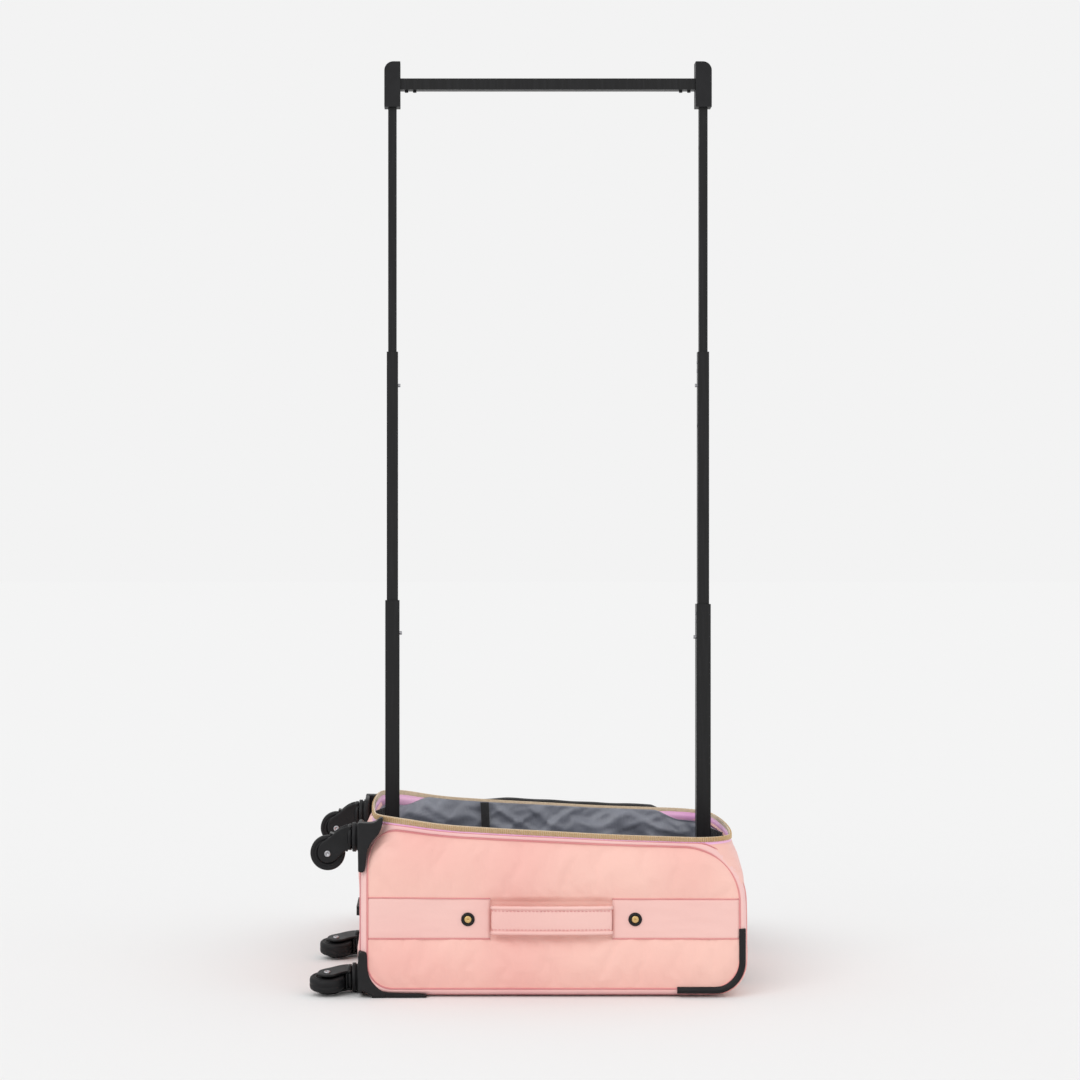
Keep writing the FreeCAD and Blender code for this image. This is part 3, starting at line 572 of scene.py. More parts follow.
def webbing(name, base=(20, 20, 22)):
    """Flat woven tape with ribs along it."""
    material, tree, shader = nodes_of(name, srgb(*base), 0.72, Sheen_Weight=0.3, Sheen_Roughness=0.5)
    place = object_place(tree)
    tone = noise_at(tree, place, 0.003, 2.0)
    lifted = tuple(value + 14 for value in base)
    paint(tree, shader, "Base Color", tone, (0.3, srgb(*base)), (0.75, srgb(*lifted)))
    bump(tree, shader, (weave_height(tree, place, 0.0012), 0.7, 0.0004), (tone, 0.2, 0.0005))
    return material


def moulded(name, base=(19, 19, 21), roughness=0.5, grain=0.0012, depth=0.00025):
    """Black moulded plastic with spark-eroded grain and slightly rubbed patches."""
    material, tree, shader = nodes_of(name, srgb(*base), roughness, Specular_IOR_Level=0.28)
    place = object_place(tree)
    fine = noise_at(tree, place, grain, 2.0)
    worn = noise_at(tree, place, 0.018, 4.0, 0.6)
    lifted = tuple(value + 11 for value in base)
    paint(tree, shader, "Base Color", worn, (0.35, srgb(*base)), (0.8, srgb(*lifted)))
    paint(tree, shader, "Roughness", worn, (0.3, grey(roughness - 0.06)), (0.75, grey(roughness + 0.1)))
    bump(tree, shader, (fine, 0.3, depth))
    return material


def powder_coat(name):
    """Satin black powder coat with orange peel and faint scuffs along the tube."""
    material, tree, shader = nodes_of(name, srgb(16, 16, 17), 0.42, Specular_IOR_Level=0.3, Coat_Weight=0.04,
                                      Coat_Roughness=0.3)
    place = object_place(tree)
    peel = noise_at(tree, place, 0.0016, 2.0)
    scuff = noise_at(tree, object_place(tree, (1, 1, 0.06)), 0.0035, 5.0, 0.65)
    paint(tree, shader, "Base Color", scuff, (0.45, srgb(15, 15, 16)), (0.82, srgb(30, 30, 32)))
    paint(tree, shader, "Roughness", scuff, (0.35, grey(0.38)), (0.75, grey(0.54)))
    bump(tree, shader, (peel, 0.25, 0.00015))
    return material


def metal(name, base, roughness, brushed=(1, 1, 1), metallic=1.0):
    """Bright metal with fine directional scratches."""
    material, tree, shader = nodes_of(name, srgb(*base), roughness, Metallic=metallic)
    scratch = noise_at(tree, object_place(tree, brushed), 0.0006, 3.0, 0.6)
    tone = tuple(max(0, value - 34) for value in base)
    paint(tree, shader, "Base Color", scratch, (0.3, srgb(*tone)), (0.7, srgb(*base)))
    paint(tree, shader, "Roughness", scratch, (0.3, grey(roughness - 0.08)), (0.7, grey(roughness + 0.12)))
    bump(tree, shader, (scratch, 0.12, 0.0001))
    return material


def mesh_cloth(name):
    """Open black net, drawn as a fine grid of holes."""
    material, tree, shader = nodes_of(name, srgb(34, 33, 36), 0.75, Sheen_Weight=0.2)
    place = object_place(tree)
    cells = add(tree, "TexVoronoi", Scale=420.0, Randomness=0.12)
    tree.links.new(place, cells.inputs["Vector"])
    paint(tree, shader, "Base Color", cells.outputs["Distance"], (0.36, srgb(58, 58, 64)), (0.5, srgb(24, 24, 26)))
    bump(tree, shader, (cells.outputs["Distance"], 0.8, 0.0006))
    return material


PINK = coated_fabric("pink_cloth", srgb(242, 184, 174), srgb(246, 198, 185), sheen=0.1)
PINK_BAND = coated_fabric("pink_band_cloth", srgb(238, 187, 180), srgb(242, 197, 189), sheen=0.12)
PINK_EDGE = coated_fabric("pink_edge_cloth", srgb(241, 190, 188), srgb(244, 200, 194), sheen=0.2)
LILAC = coated_fabric("lilac_cloth", srgb(238, 170, 222), srgb(248, 200, 226), sheen=0.3, gloss=0.33)
PIPING = coated_fabric("piping_cloth", srgb(214, 132, 134), srgb(226, 150, 148), weave=0.0007, sheen=0.2)
THREAD = webbing("rose_thread", (226, 150, 150))
LINING = lining_cloth("grey_lining")
WEB = webbing("black_webbing")
TAPE = webbing("pale_zip_tape", (214, 190, 160))
NET = mesh_cloth("black_net")
PLASTIC = moulded("black_moulding")
CAP_PLASTIC = moulded("black_cap_moulding", (16, 16, 18), 0.42, 0.0009)
RUBBER = moulded("black_tyre", (15, 15, 17), 0.55, 0.0007, 0.00015)
COAT = powder_coat("black_powder_coat")
STEEL = metal("bright_steel", (196, 196, 200), 0.3, (1, 1, 6))
ALUMINIUM = metal("anodised_aluminium", (176, 178, 182), 0.36, (0.05, 6, 6))
GOLD = metal("gold_teeth", (226, 196, 150), 0.42, metallic=0.45)
BRASS = metal("brass", (232, 200, 142), 0.36)
GREY_PLASTIC = moulded("grey_button", (84, 84, 88), 0.4)


# ---------------------------------------------------------------- case shell

BAND_LOW, BAND_HIGH = 75.0, 126.0
WINDOW_START, WINDOW_END = -81.0, 74.5
PIPING_CORNERS = ((-237.5, 11.5, 32), (237, 11.5, 38), (237, 196.5, 72), (-237.5, 196.5, 40))
SHELL_TOP = 200.0
HEAD_WINDOW, HEAD_BAND = 77.5, 150.0
MOUTH_START, MOUTH_HALF, MOUTH_TOP = 211, 77, 25


def ripple(x, y, z, size, amount, seed=0.0):
    """Smooth random height at a point, for folds of about the given size."""
    return amount * noise.noise(Vector((x / size + seed, y / size, z / size)))


def puff(x, y, level, out):
    """How far the padded skin stands proud of its plan at a place: a crown between seams, and soft folds."""
    foot, head, width, _ = extents(level)
    along = min(x - foot, head - x) if abs(out[1]) > 0.7 else width - abs(y)
    edge = smooth(0, 60, along)
    seam = min(abs(level - BAND_LOW), abs(level - BAND_HIGH), abs(level - 11), abs(level - SHELL_TOP))
    crown = 2.0 * edge * smooth(0, 26, seam)
    in_band = BAND_LOW < level < BAND_HIGH
    if in_band:
        behind_side_handle = out[1] < -0.7 and WINDOW_START < x < WINDOW_END
        behind_head_handle = out[0] > 0.7 and abs(y) < HEAD_WINDOW
        return -3.2 if behind_side_handle or behind_head_handle else 0.0
    folds = ripple(x * 0.8 + level * 0.5, y * 0.8, level * 1.7, 60, 1.9, 3.0)
    folds += ripple(x * 0.6 - level * 0.4, y * 0.6, level * 1.6, 26, 0.8, 9.0)
    tucks = ripple(x + level, y + level, level * 0.8, 20, 0.6, 5.0) * (1 - smooth(0, 30, seam))
    return crown + folds * edge * smooth(4, 40, level) + tucks * edge


def skin_point(ring_point, level):
    """A point of the padded skin over a point of the plan."""
    x, y, out_x, out_y = ring_point
    proud = puff(x, y, level, (out_x, out_y))
    px, py = x + out_x * proud, y + out_y * proud
    return (px, py, lift(px, level))


def levels_between(low, high, step):
    count = max(1, round((high - low) / step))
    return [mix(low, high, number / count) for number in range(count + 1)]


def case_shell():
    """The padded shell: back, wrapped ends and sides in one lofted skin with real thickness."""
    rings = []
    for inset in (158, 140, 115, 90, 65, 45, 28, 14, 6):
        rings.append([(x, y, BACK + 0.6 + abs(ripple(x, y, 0, 60, 1.6)) * smooth(0, 60, inset))
                      for x, y, _, _ in plan_ring(BACK, inset)])
    for level in levels_between(BACK, 44, 2.6)[:-1] + levels_between(44, SHELL_TOP, 3.2):
        rings.append([skin_point(point, level) for point in plan_ring(level)])
    for inset, level in ((1.4, SHELL_TOP + 0.4), (3.2, SHELL_TOP - 0.6), (4.0, SHELL_TOP - 6)):
        rings.append([(x, y, lift(x, level)) for x, y, _, _ in plan_ring(level, inset)])
    points, faces = loft(rings)
    faces.append(tuple(reversed(range(len(rings[0])))))
    shell = make("case_shell", points, faces, PINK)
    fix_normals(shell)
    settle(shell, shell_seams(rings), pressure=9.0, slack=0.012, cap=4.5, frames=16)
    open_mouth(shell)
    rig.replaces(shell, "near_side_panel", "far_side_panel", "foot_panel", "head_panel", "back_panel")
    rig.slot(shell, "pink_shell")
    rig.padded(shell, fill=0.7)


def open_mouth(shell):
    """Cuts the opening for the trolley grip's cup in the rounded lower head edge."""
    mesh = bmesh.new()
    mesh.from_mesh(shell.data)
    inside = []
    for face in mesh.faces:
        centre = face.calc_center_median() / MM
        in_mouth = centre.x > MOUTH_START and abs(centre.y) < MOUTH_HALF and centre.z < MOUTH_TOP
        if len(face.verts) == 4 and in_mouth:
            inside.append(face)
    bmesh.ops.delete(mesh, geom=inside, context="FACES")
    mesh.to_mesh(shell.data)
    mesh.free()


def seam_gap(x, level):
    """Signed distance from the seam outline of a side face: negative inside it."""
    (x0, z0, r0), (x1, _, r1), (_, z1, r2), (_, _, r3) = PIPING_CORNERS
    left = x < (x0 + x1) / 2
    low = level < (z0 + z1) / 2
    radius = (r0 if left else r1) if low else (r3 if left else r2)
    across = (x0 - x if left else x - x1) + radius
    along = (z0 - level if low else level - z1) + radius
    return math.hypot(max(across, 0), max(along, 0)) + min(max(across, along), 0) - radius


def shell_seams(rings):
    """Which points of the shell are sewn down: the seams, the band, the turned edge and the back."""
    held = []
    for ring in rings:
        for x, y, z in ring:
            level = drop(x, z)
            on_face = abs(y) > 160 and 12 < level
            seam = min(abs(level - BAND_LOW), abs(level - BAND_HIGH))
            fixed = level < 9 or level > SHELL_TOP - 4 or BAND_LOW <= level <= BAND_HIGH or seam < 2
            if on_face and seam_gap(x, level) > -3:
                fixed = True
            held.append(1.0 if fixed else 0.0)
    return held


def settle(piece, held, pressure, slack, cap, frames):
    """Cloth simulation of a padded skin sewn down at its seams; no point moves further than cap millimetres."""
    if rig.quick():
        return
    group = piece.vertex_groups.new(name="sewn")
    for index, weight in enumerate(held):
        if weight > 0:
            group.add([index], weight, "REPLACE")
    cloth = piece.modifiers.new("Cloth", "CLOTH")
    cloth.point_cache.frame_start, cloth.point_cache.frame_end = 1, frames
    cloth.collision_settings.use_collision = False
    cloth.settings.effector_weights.gravity = 0
    settings = {"quality": 4, "mass": 0.2, "tension_stiffness": 25, "compression_stiffness": 12, "shear_stiffness": 8,
                "bending_stiffness": 1.2, "use_pressure": True, "uniform_pressure_force": pressure,
                "vertex_group_mass": group.name, "shrink_min": -slack}
    for key, value in settings.items():
        setattr(cloth.settings, key, value)
    scene = bpy.context.scene
    for frame in range(1, frames + 1):
        scene.frame_set(frame)
    result = piece.evaluated_get(bpy.context.evaluated_depsgraph_get()).data
    for vertex, moved in zip(piece.data.vertices, [corner.co.copy() for corner in result.vertices]):
        step = moved - vertex.co
        if step.length > cap * MM:
            step = step.normalized() * cap * MM
        vertex.co += step
    piece.modifiers.remove(cloth)
    piece.vertex_groups.remove(group)
    scene.frame_set(1)
    piece.data.update()


def on_side(x, level, side, proud):
    """A point on the near (side -1) or far (side 1) face, proud of the skin."""
    stand = side_y(x, level)
    lifted = max(0.0, puff(x, side * stand, level, (0.0, 1.0)))
    return Vector((x, side * (stand + lifted * 0.9 + proud), lift(x, level)))


def seam_outline(grow):
    """The side seam's outline in (x, level), grown outward; the radii grow with it."""
    (x0, z0, r0), (x1, _, r1), (_, z1, r2), (_, _, r3) = PIPING_CORNERS
    return rounded_outline(((x0 - grow, z0 - grow, r0 + grow), (x1 + grow, z0 - grow, r1 + grow),
                            (x1 + grow, z1 + grow, r2 + grow), (x0 - grow, z1 + grow, r3 + grow)))


def side_path(outline, side, proud):
    """An outline laid on a side face, kept between the back and the mouth."""
    low, high = BACK + 0.4, SHELL_TOP + 1.5
    return [on_side(x, min(high, max(low, level)), side, proud) for x, level in outline]


def side_cord(name, grow, side, proud, radius, corners):
    """A round cord on a side face, along the seam outline grown outward."""
    path = side_path(seam_outline(grow), side, proud)
    points, faces = sweep(path, [(0, side, 0)] * len(path), circle(radius, corners))
    cord = make(name, points, faces, PIPING)
    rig.slot(cord, "piping")
    return cord


def piping_and_edging():
    """Round piping on each side seam, with a flat bound strip just outside it."""
    for side, name in ((-1, "near"), (1, "far")):
        cord = side_cord(name + "_piping", 0, side, 0.4, 0.95, 10)
        side_cord(name + "_outer_piping", 9.6, side, 0.1, 0.75, 8)
        profile = ((0.7, 0.1), (1.8, 0.9), (3.4, 1.2), (5.4, 1.25), (7.8, 0.9), (9.4, -0.2))
        points, faces = loft([side_path(resample(seam_outline(grow), 200), side, proud) for grow, proud in profile])
        strip = fix_normals(make(name + "_edging", points, faces, PINK_EDGE))
        add_modifier(strip, "SOLIDIFY", thickness=0.0008, offset=-1.0)
        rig.slot(strip, "piping")
        if side < 0:
            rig.replaces(cord, "side_piping")


def resample(outline, count):
    """The same closed outline at evenly spaced points, starting from its first."""
    closed = list(outline) + [outline[0]]
    lengths = [0.0]
    for start, end in zip(closed, closed[1:]):
        lengths.append(lengths[-1] + (Vector(end) - Vector(start)).length)
    points, index = [], 0
    for number in range(count):
        target = lengths[-1] * number / count
        while lengths[index + 1] < target:
            index += 1
        share = (target - lengths[index]) / (lengths[index + 1] - lengths[index])
        points.append(Vector(closed[index]).lerp(Vector(closed[index + 1]), share))
    return points


def gusset_and_zip():
    """The lilac strip round the mouth, its inner facing, the zip tape and the row of gold teeth."""
    profile = ((1.6, SHELL_TOP - 6), (0.9, SHELL_TOP - 2), (0.5, SHELL_TOP + 1), (0.7, RIM - 6.6),
               (1.6, RIM - 6.2), (3.0, RIM - 5), (4.2, RIM - 12), (4.6, RIM - 24))
    rings = [[(x + ox * ripple(x, y, level, 30, 0.3), y + oy * ripple(x, y, level, 30, 0.3), lift(x, level))
              for x, y, ox, oy in plan_ring(level, inset)] for inset, level in profile]
    points, faces = loft(rings)
    gusset = make("zip_gusset", points, faces, LILAC)
    fix_normals(gusset)
    add_modifier(gusset, "SOLIDIFY", thickness=0.0006, offset=-1.0)
    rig.replaces(gusset, "rim_gusset")
    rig.slot(gusset, "gusset")
    tape = [[(x, y, lift(x, level)) for x, y, _, _ in plan_ring(level, inset)]
            for inset, level in ((0.9, RIM - 6.8), (0.6, RIM - 3), (0.9, RIM - 0.2), (1.8, RIM + 0.2),
                                 (2.8, RIM - 0.2), (3.0, RIM - 6.8))]
    points, faces = loft(tape)
    band = fix_normals(make("zip_tape", points, faces, TAPE))
    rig.slot(band, "zip_teeth")
    line = plan_ring(RIM - 1, 0.3)
    teeth = zip_teeth("zip_teeth", [Vector((x, y, lift(x, RIM - 3.2))) for x, y, _, _ in line],
                      [Vector((ox, oy, 0)) for _, _, ox, oy in line], UP, 6.2, "case", 2.7)
    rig.replaces(teeth, "rim_zipper")


def zip_teeth(name, path, outs, up, tall, body, pitch=2.5, closing=True):
    """Interlocking moulded teeth along a path: small rounded bars, standing on their tape."""
    points, faces = [], []
    closed = path + [path[0]]
    normals = outs + [outs[0]]
    carried = 0.0
    odd = False
    for index in range(len(path) if closing else len(path) - 1):
        start, end = closed[index], closed[index + 1]
        length = (end - start).length
        direction = (end - start).normalized()
        while carried < length:
            share = carried / length
            centre = start.lerp(end, share)
            out = normals[index].lerp(normals[index + 1], share).normalized()
            reach = tall / 2 * (1.0 if odd else 0.86)
            first = len(points)
            for depth, across in ((-0.9, 0.42), (0.5, 0.62), (1.15, 0.40)):
                for side, rise in ((-1, -1), (1, -1), (1, 1), (-1, 1)):
                    trim = 0.8 if depth > 1 else 1.0
                    points.append(centre + direction * across * side + up * reach * rise * trim + out * depth)
            for row in range(2):
                low = first + row * 4
                faces += [(low + s, low + (s + 1) % 4, low + 4 + (s + 1) % 4, low + 4 + s) for s in range(4)]
            faces.append((first + 8, first + 9, first + 10, first + 11))
            faces.append((first + 3, first + 2, first + 1, first))
            carried += pitch
            odd = not odd
        carried -= length
    teeth = make(name, points, faces, GOLD, body, shade=False)
    fix_normals(teeth)
    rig.slot(teeth, "zip_teeth")
    return teeth


def lining():
    """The loose grey lining: hung from the zip, folded down the walls and slack over the board."""
    floor, rows = 37.0, 44
    rings, held = [], []
    for row in range(rows + 1):
        ring = []
        for x, y, ox, oy in plan_ring(180, 7.0, 118, 80, 12):
            top = RIM - 3 - 14 * max(smooth(160, 205, abs(x)), smooth(0.5, 0.9, abs(ox)))
            share = (row / rows) ** 1.15
            level = mix(top, floor, share)
            x = mix(bowed(x, y, level), x, smooth(0, 0.4, share))
            run = x if abs(oy) > 0.7 else y
            ridge = 1 - abs(noise.noise(Vector((run / 46 + level / 38, level / 46, 2.0)))) * 3.2
            cross = 1 - abs(noise.noise(Vector((run / 52 - level / 34, level / 60, 7.0)))) * 3.0
            fold = 1.0 + (max(0.0, ridge) * 5.4 + max(0.0, cross) * 3.2) * smooth(0, 0.07, share)
            fold *= 1 - 0.7 * smooth(0.85, 1, share)
            ring.append((x - ox * fold, y - oy * fold, lift(x, level)))
            held.append(1.0 if row == 0 or row >= rows - 1 else 0.0)
        rings.append(ring)
    for inset, height in ((9, 31), (14, 29.2), (24, 28.7), (45, 28.7), (70, 28.7), (100, 28.7), (130, 28.7),
                          (155, 28.7)):
        ring = [(x, y, height + abs(ripple(x, y, 1, 45, 2.4)) * smooth(10, 40, inset))
                for x, y, _, _ in plan_ring(60, inset, 118, 80, 12)]
        rings.append(ring)
        held += [1.0] * len(ring)
    points, faces = loft(rings)
    last = len(points) - len(rings[0])
    faces.append(tuple(range(last, len(points))))
    cloth = make("lining_cloth", points, faces, LINING)
    fix_normals(cloth)
    cloth.data.flip_normals()
    settle(cloth, held, pressure=0.5, slack=0.03, cap=3.5, frames=14)
    add_modifier(cloth, "SOLIDIFY", thickness=0.0005, offset=0.0)
    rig.replaces(cloth, "lining")
    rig.slot(cloth, "lining")
    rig.sheet(cloth, flat=(0.68, 0.82), held="hung", rests_on=["floor_board"], area=0.45)


# ---------------------------------------------------------------- strips and patches

BAND_PROUD, BAND_BORDER = 0.8, 3.0


def band_patch(name, start, end):
    """A flat patch of the waist band on the near face: rounded borders, lying proud of the skin."""
    columns, rows = max(8, int((end - start) / 4)), 24

    def place(column, row):
        x, level = mix(start, end, column / columns), mix(BAND_LOW, BAND_HIGH, row / rows)
        edge = min(level - BAND_LOW, BAND_HIGH - level, x - start + BAND_BORDER * 0.4, end - x + BAND_BORDER * 0.4)
        streak = ripple(x * 0.35, level * 1.6, -1, 16, 0.7) * smooth(0, 12, edge)
        return on_side(x, level, -1, BAND_PROUD * smooth(-0.2, BAND_BORDER, edge) + max(-0.3, streak))

    points, faces = grid(columns, rows, place)
    patch = make(name, points, faces, PINK_BAND)
    add_modifier(patch, "SOLIDIFY", thickness=0.0012, offset=-1.0)
    return patch


def stitch_row(name, path, outs, length, gap, radius):
    """A dashed row of thread: short rounded stitches that dive into the cloth at both ends."""
    points, faces = [], []
    walked = 0.0
    section = circle(radius, 6)
    lengths = [0.0]
    for a, b in zip(path, path[1:]):
        lengths.append(lengths[-1] + (b - a).length)

    def at(distance):
        spot = 0
        while spot < len(lengths) - 2 and lengths[spot + 1] < distance:
            spot += 1
        part = (distance - lengths[spot]) / max(1e-6, lengths[spot + 1] - lengths[spot])
        return path[spot].lerp(path[spot + 1], part), outs[spot].lerp(outs[spot + 1], part).normalized()

    while walked + length < lengths[-1]:
        line, normals = [], []
        for step in range(5):
            point, out = at(walked + length * step / 4)
            height = (-0.55, 0.12, 0.3, 0.12, -0.55)[step]
            line.append(point + out * height)
            normals.append(out)
        more_points, more_faces = sweep(line, normals, section, closed=False)
        faces += [tuple(corner + len(points) for corner in face) for face in more_faces]
        points += more_points
        walked += length + gap
    return make(name, points, faces, THREAD)


def side_bands():
    """The two crisp patches of the waist band on the near side, and the seams along them."""
    foot = band_patch("near_band_foot", -237.5, WINDOW_START)
    band_patch("near_band_head", WINDOW_END, 236.5)
    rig.replaces(foot, "handle_bands")
    for x0, x1, label in ((-236.5, WINDOW_START, "foot"), (WINDOW_END, 235.5, "head")):
        for level, edge in ((BAND_LOW, "low"), (BAND_HIGH, "high")):
            path = [on_side(mix(x0, x1, step / 60), level, -1, 0.35) for step in range(61)]
            points, faces = sweep(path, [(0, -1, 0)] * len(path), circle(0.75, 8), closed=False)
            make(f"near_seam_{label}_{edge}", points, faces, PIPING)


def head_bands():
    """The two band patches on the head end, either side of its handle, with their seams."""
    columns, rows = 18, 20
    for side, name in ((-1, "near"), (1, "far")):
        def place(column, row):
            y, level = side * mix(HEAD_WINDOW, HEAD_BAND, column / columns), mix(BAND_LOW, BAND_HIGH, row / rows)
            edge = min(level - BAND_LOW, BAND_HIGH - level, abs(y) - HEAD_WINDOW + 1, HEAD_BAND - abs(y) + 1)
            streak = max(-0.3, ripple(y * 0.35, level * 1.6, 4, 16, 0.7) * smooth(0, 12, edge))
            return extents(level)[1] + BAND_PROUD * smooth(-0.2, BAND_BORDER, edge) + streak, y, level

        points, faces = grid(columns, rows, place)
        patch = fix_normals(make(f"head_band_{name}", points, faces, PINK_BAND))
        add_modifier(patch, "SOLIDIFY", thickness=0.0012, offset=0.0)
        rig.slot(patch, "pink_shell")
        for level, edge in ((BAND_LOW, "low"), (BAND_HIGH, "high")):
            path = [Vector((extents(level)[1] + 0.4, side * mix(HEAD_WINDOW, HEAD_BAND, step / 20), level))
                    for step in range(21)]
            points, faces = sweep(path, [Vector((1, 0, 0))] * 21, circle(0.75, 8), closed=False)
            make(f"head_seam_{name}_{edge}", points, faces, PIPING)


def rim_band():
    """The stiffening band inside the padding, just under the mouth."""
    rings = []
    for inset, level in ((2.2, 150), (2.2, 192), (3.2, 192), (3.2, 150)):
        rings.append([(x, y, lift(x, level)) for x, y, _, _ in plan_ring(level, inset, 60, 40, 8)])
    points, faces = loft(rings + rings[:1])
    band = fix_normals(make("rim_band", points, faces, GREY_PLASTIC))
    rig.replaces(band, "rim_stiffener")
    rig.slot(band, "board")


HANDLE_WIDTH, HANDLE_THICK, HANDLE_LEVEL, HANDLE_EDGE = 36.5, 4.2, 99.8, 2.4


def handle(name, path, outs):
    """A padded carry strap: flat between two raised piped edges, its ends sewn down; path in millimetres."""
    half, face = HANDLE_WIDTH / 2, HANDLE_THICK / 2
    core = [(-half + 1.5, -face), (-half, 0), (-half + 1.5, face), (-half + 4.5, face + 0.3), (-half / 2, face + 0.9),
            (0, face + 1.1), (half / 2, face + 0.9), (half - 4.5, face + 0.3), (half - 1.5, face), (half, 0),
            (half - 1.5, -face), (0, -face - 0.4)]
    rings = []
    for index, (point, out) in enumerate(zip(path, outs)):
        lumps = 1 + 0.16 * noise.noise(Vector((index / 5.0, 1.0, 0.0)))
        ring = []
        for across, high in core:
            spread = 1 + 0.03 * math.sin(index * 0.9) * (abs(across) > half - 3)
            ring.append(point + UP * across * spread + out * high * lumps)
        rings.append(ring)
    points, faces = loft(rings)
    faces.append(tuple(reversed(range(len(core)))))
    faces.append(tuple(len(points) - len(core) + corner for corner in range(len(core))))
    strap = make(name, points, faces, PINK_BAND)
    fix_normals(strap)
    add_modifier(strap, "SUBSURF", levels=1, render_levels=1)
    for sign, label in ((-1, "low"), (1, "high")):
        line = [point + UP * sign * (half - HANDLE_EDGE) + out * (face + 0.6) for point, out in zip(path, outs)]
        wavy = [point + out * 0.25 * math.sin(index * 1.15) for index, (point, out) in enumerate(zip(line, outs))]
        points, faces = sweep(wavy, outs, circle(HANDLE_EDGE, 14, 0.8), closed=False)
        make(f"{name}_piped_{label}", points, faces, PINK_BAND)
        thread = [point + UP * sign * (half - HANDLE_EDGE * 2 - 1.6) + out * (face + 0.85)
                  for point, out in zip(path, outs)]
        stitch_row(f"{name}_stitch_{label}", thread, outs, 2.9, 1.9, 0.42)
    return strap


def near_handle():
    """The side handle: sewn at both ends, standing a little off the band between them."""
    path, outs = [], []
    for step in range(41):
        share = step / 40
        x = mix(-80.1, 74.1, share)
        stand = HALF_WIDTH + 3.2 + 5.2 * math.sin(math.pi * share) ** 0.5
        path.append(Vector((x, -stand, HANDLE_LEVEL)))
        steepness = max(0.35, math.sin(math.pi * share) ** 0.5)
        slope = 5.2 * 0.5 * math.pi * math.cos(math.pi * share) / steepness / 154
        outs.append(Vector((-slope * 0.4, -1, 0)).normalized())
    strap = handle("side_handle", path, outs)
    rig.replaces(strap, "near_side_handle")
    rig.slot(strap, "pink_shell")


def head_handle():
    """The end handle, bowed out from the head wall."""
    path, outs = [], []
    for step in range(41):
        share = step / 40
        y = mix(-77, 77, share)
        stand = 248.2 + 5.6 * math.sin(math.pi * share) ** 0.6
        path.append(Vector((stand, y, HANDLE_LEVEL)))
        outs.append(Vector((1, 0, 0)))
    strap = handle("end_handle", path, outs)
    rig.replaces(strap, "head_handle")
    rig.slot(strap, "pink_shell")


def disc(name, centre, axis, profile, material, steps=48):
    """A turned piece: profile is (radius, height along the axis)."""
    axis = Vector(axis).normalized()
    across = axis.orthogonal().normalized()
    other = axis.cross(across)
    rings = [[Vector(centre) + across * radius * math.cos(math.tau * s / steps)
              + other * radius * math.sin(math.tau * s / steps) + axis * height for s in range(steps)]
             for radius, height in profile]
    points, faces = loft(rings)
    if profile[-1][0] > 0:
        faces.append(tuple(len(points) - steps + s for s in range(steps)))
    if profile[0][0] > 0:
        faces.append(tuple(reversed(range(steps))))
    return fix_normals(make(name, points, faces, material))


# ---------------------------------------------------------------- small fittings

def eyelets():
    """Black rings with dimpled gold centres on the near face and the head end."""
    places = [((x, -(side_y(x, 100) + 0.9), 100), (0, -1, 0)) for x in (-109.5, 103.5)]
    places += [((extents(100)[1] + 0.9, y, 100), (1, 0, 0)) for y in (-106.5, 106.5)]
    ring = ((8.6, -1.4), (8.7, 0.6), (8.3, 1.6), (7.4, 2.3), (6.2, 2.5), (5.3, 2.1), (4.9, 1.2), (4.8, 0.4),
            (4.8, -1.4))
    centre = ((4.9, 0.0), (4.8, 1.2), (4.5, 1.9), (3.6, 2.3), (2.4, 2.5), (1.4, 2.5), (1.0, 2.2), (0.8, 1.6),
              (0.0, 1.5))
    made = []
    for index, (place, axis) in enumerate(places):
        made.append((disc(f"eyelet_ring_{index}", place, axis, ring, CAP_PLASTIC),
                     disc(f"eyelet_centre_{index}", place, axis, centre, BRASS)))
    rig.replaces(made[0][0], "eyelet_rings")
    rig.replaces(made[0][1], "eyelet_centres")
    for outer, inner in made:
        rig.slot(outer, "trim_black")
        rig.slot(inner, "brass")


CAD_LOOKS = (
    (("bottom_grip",), PLASTIC, 1.6),
    (("post_sockets", "trolley_cup"), PLASTIC, 0.7),
    (("rack_connectors",), PLASTIC, 2.2),
    (("left_lower_tube", "right_lower_tube", "left_middle_tube", "right_middle_tube", "left_upper_tube",
      "right_upper_tube", "crossbar"), COAT, 0.9),
    (("lower_tube_rivets", "middle_tube_rivets"), STEEL, 0.25),
    (("crossbar_studs",), PLASTIC, 0.4),
    (("trolley_outer_tubes", "trolley_middle_tubes", "trolley_inner_tubes"), ALUMINIUM, 0.5),
    (("trolley_grip",), PLASTIC, 1.2),
    (("floor_board",), GREY_PLASTIC, 0.6),
)


def dress_cad_nodes():
    """Materials and softened edges for the hard parts that keep their CAD shape."""
    table = [(name, look, width) for names, look, width in CAD_LOOKS for name in names]
    table += [(node.name, STEEL, 0.6) for node in bpy.context.scene.objects
              if node.type == "MESH" and node.name.endswith("_button")]
    for name, look, width in table:
        node = bpy.data.objects[name]
        node.data.materials.clear()
        node.data.materials.append(look)
        node.data.polygons.foreach_set("use_smooth", [True] * len(node.data.polygons))
        bevel(node, width, 40, segments=3, harden_normals=True)


# ---------------------------------------------------------------- moulded guards, housings and casters

def softened(outline, sharp=()):
    """A closed outline with its corners cut twice; points whose index is in sharp are kept."""
    points = [(Vector(point), index in sharp) for index, point in enumerate(outline)]
    for _ in range(2):
        cut = []
        for index, (point, kept) in enumerate(points):
            before, after = points[index - 1][0], points[(index + 1) % len(points)][0]
            if kept:
                cut.append((point, True))
            else:
                cut += [(point.lerp(before, 0.25), False), (point.lerp(after, 0.25), False)]
        points = cut
    return [point for point, _ in points]


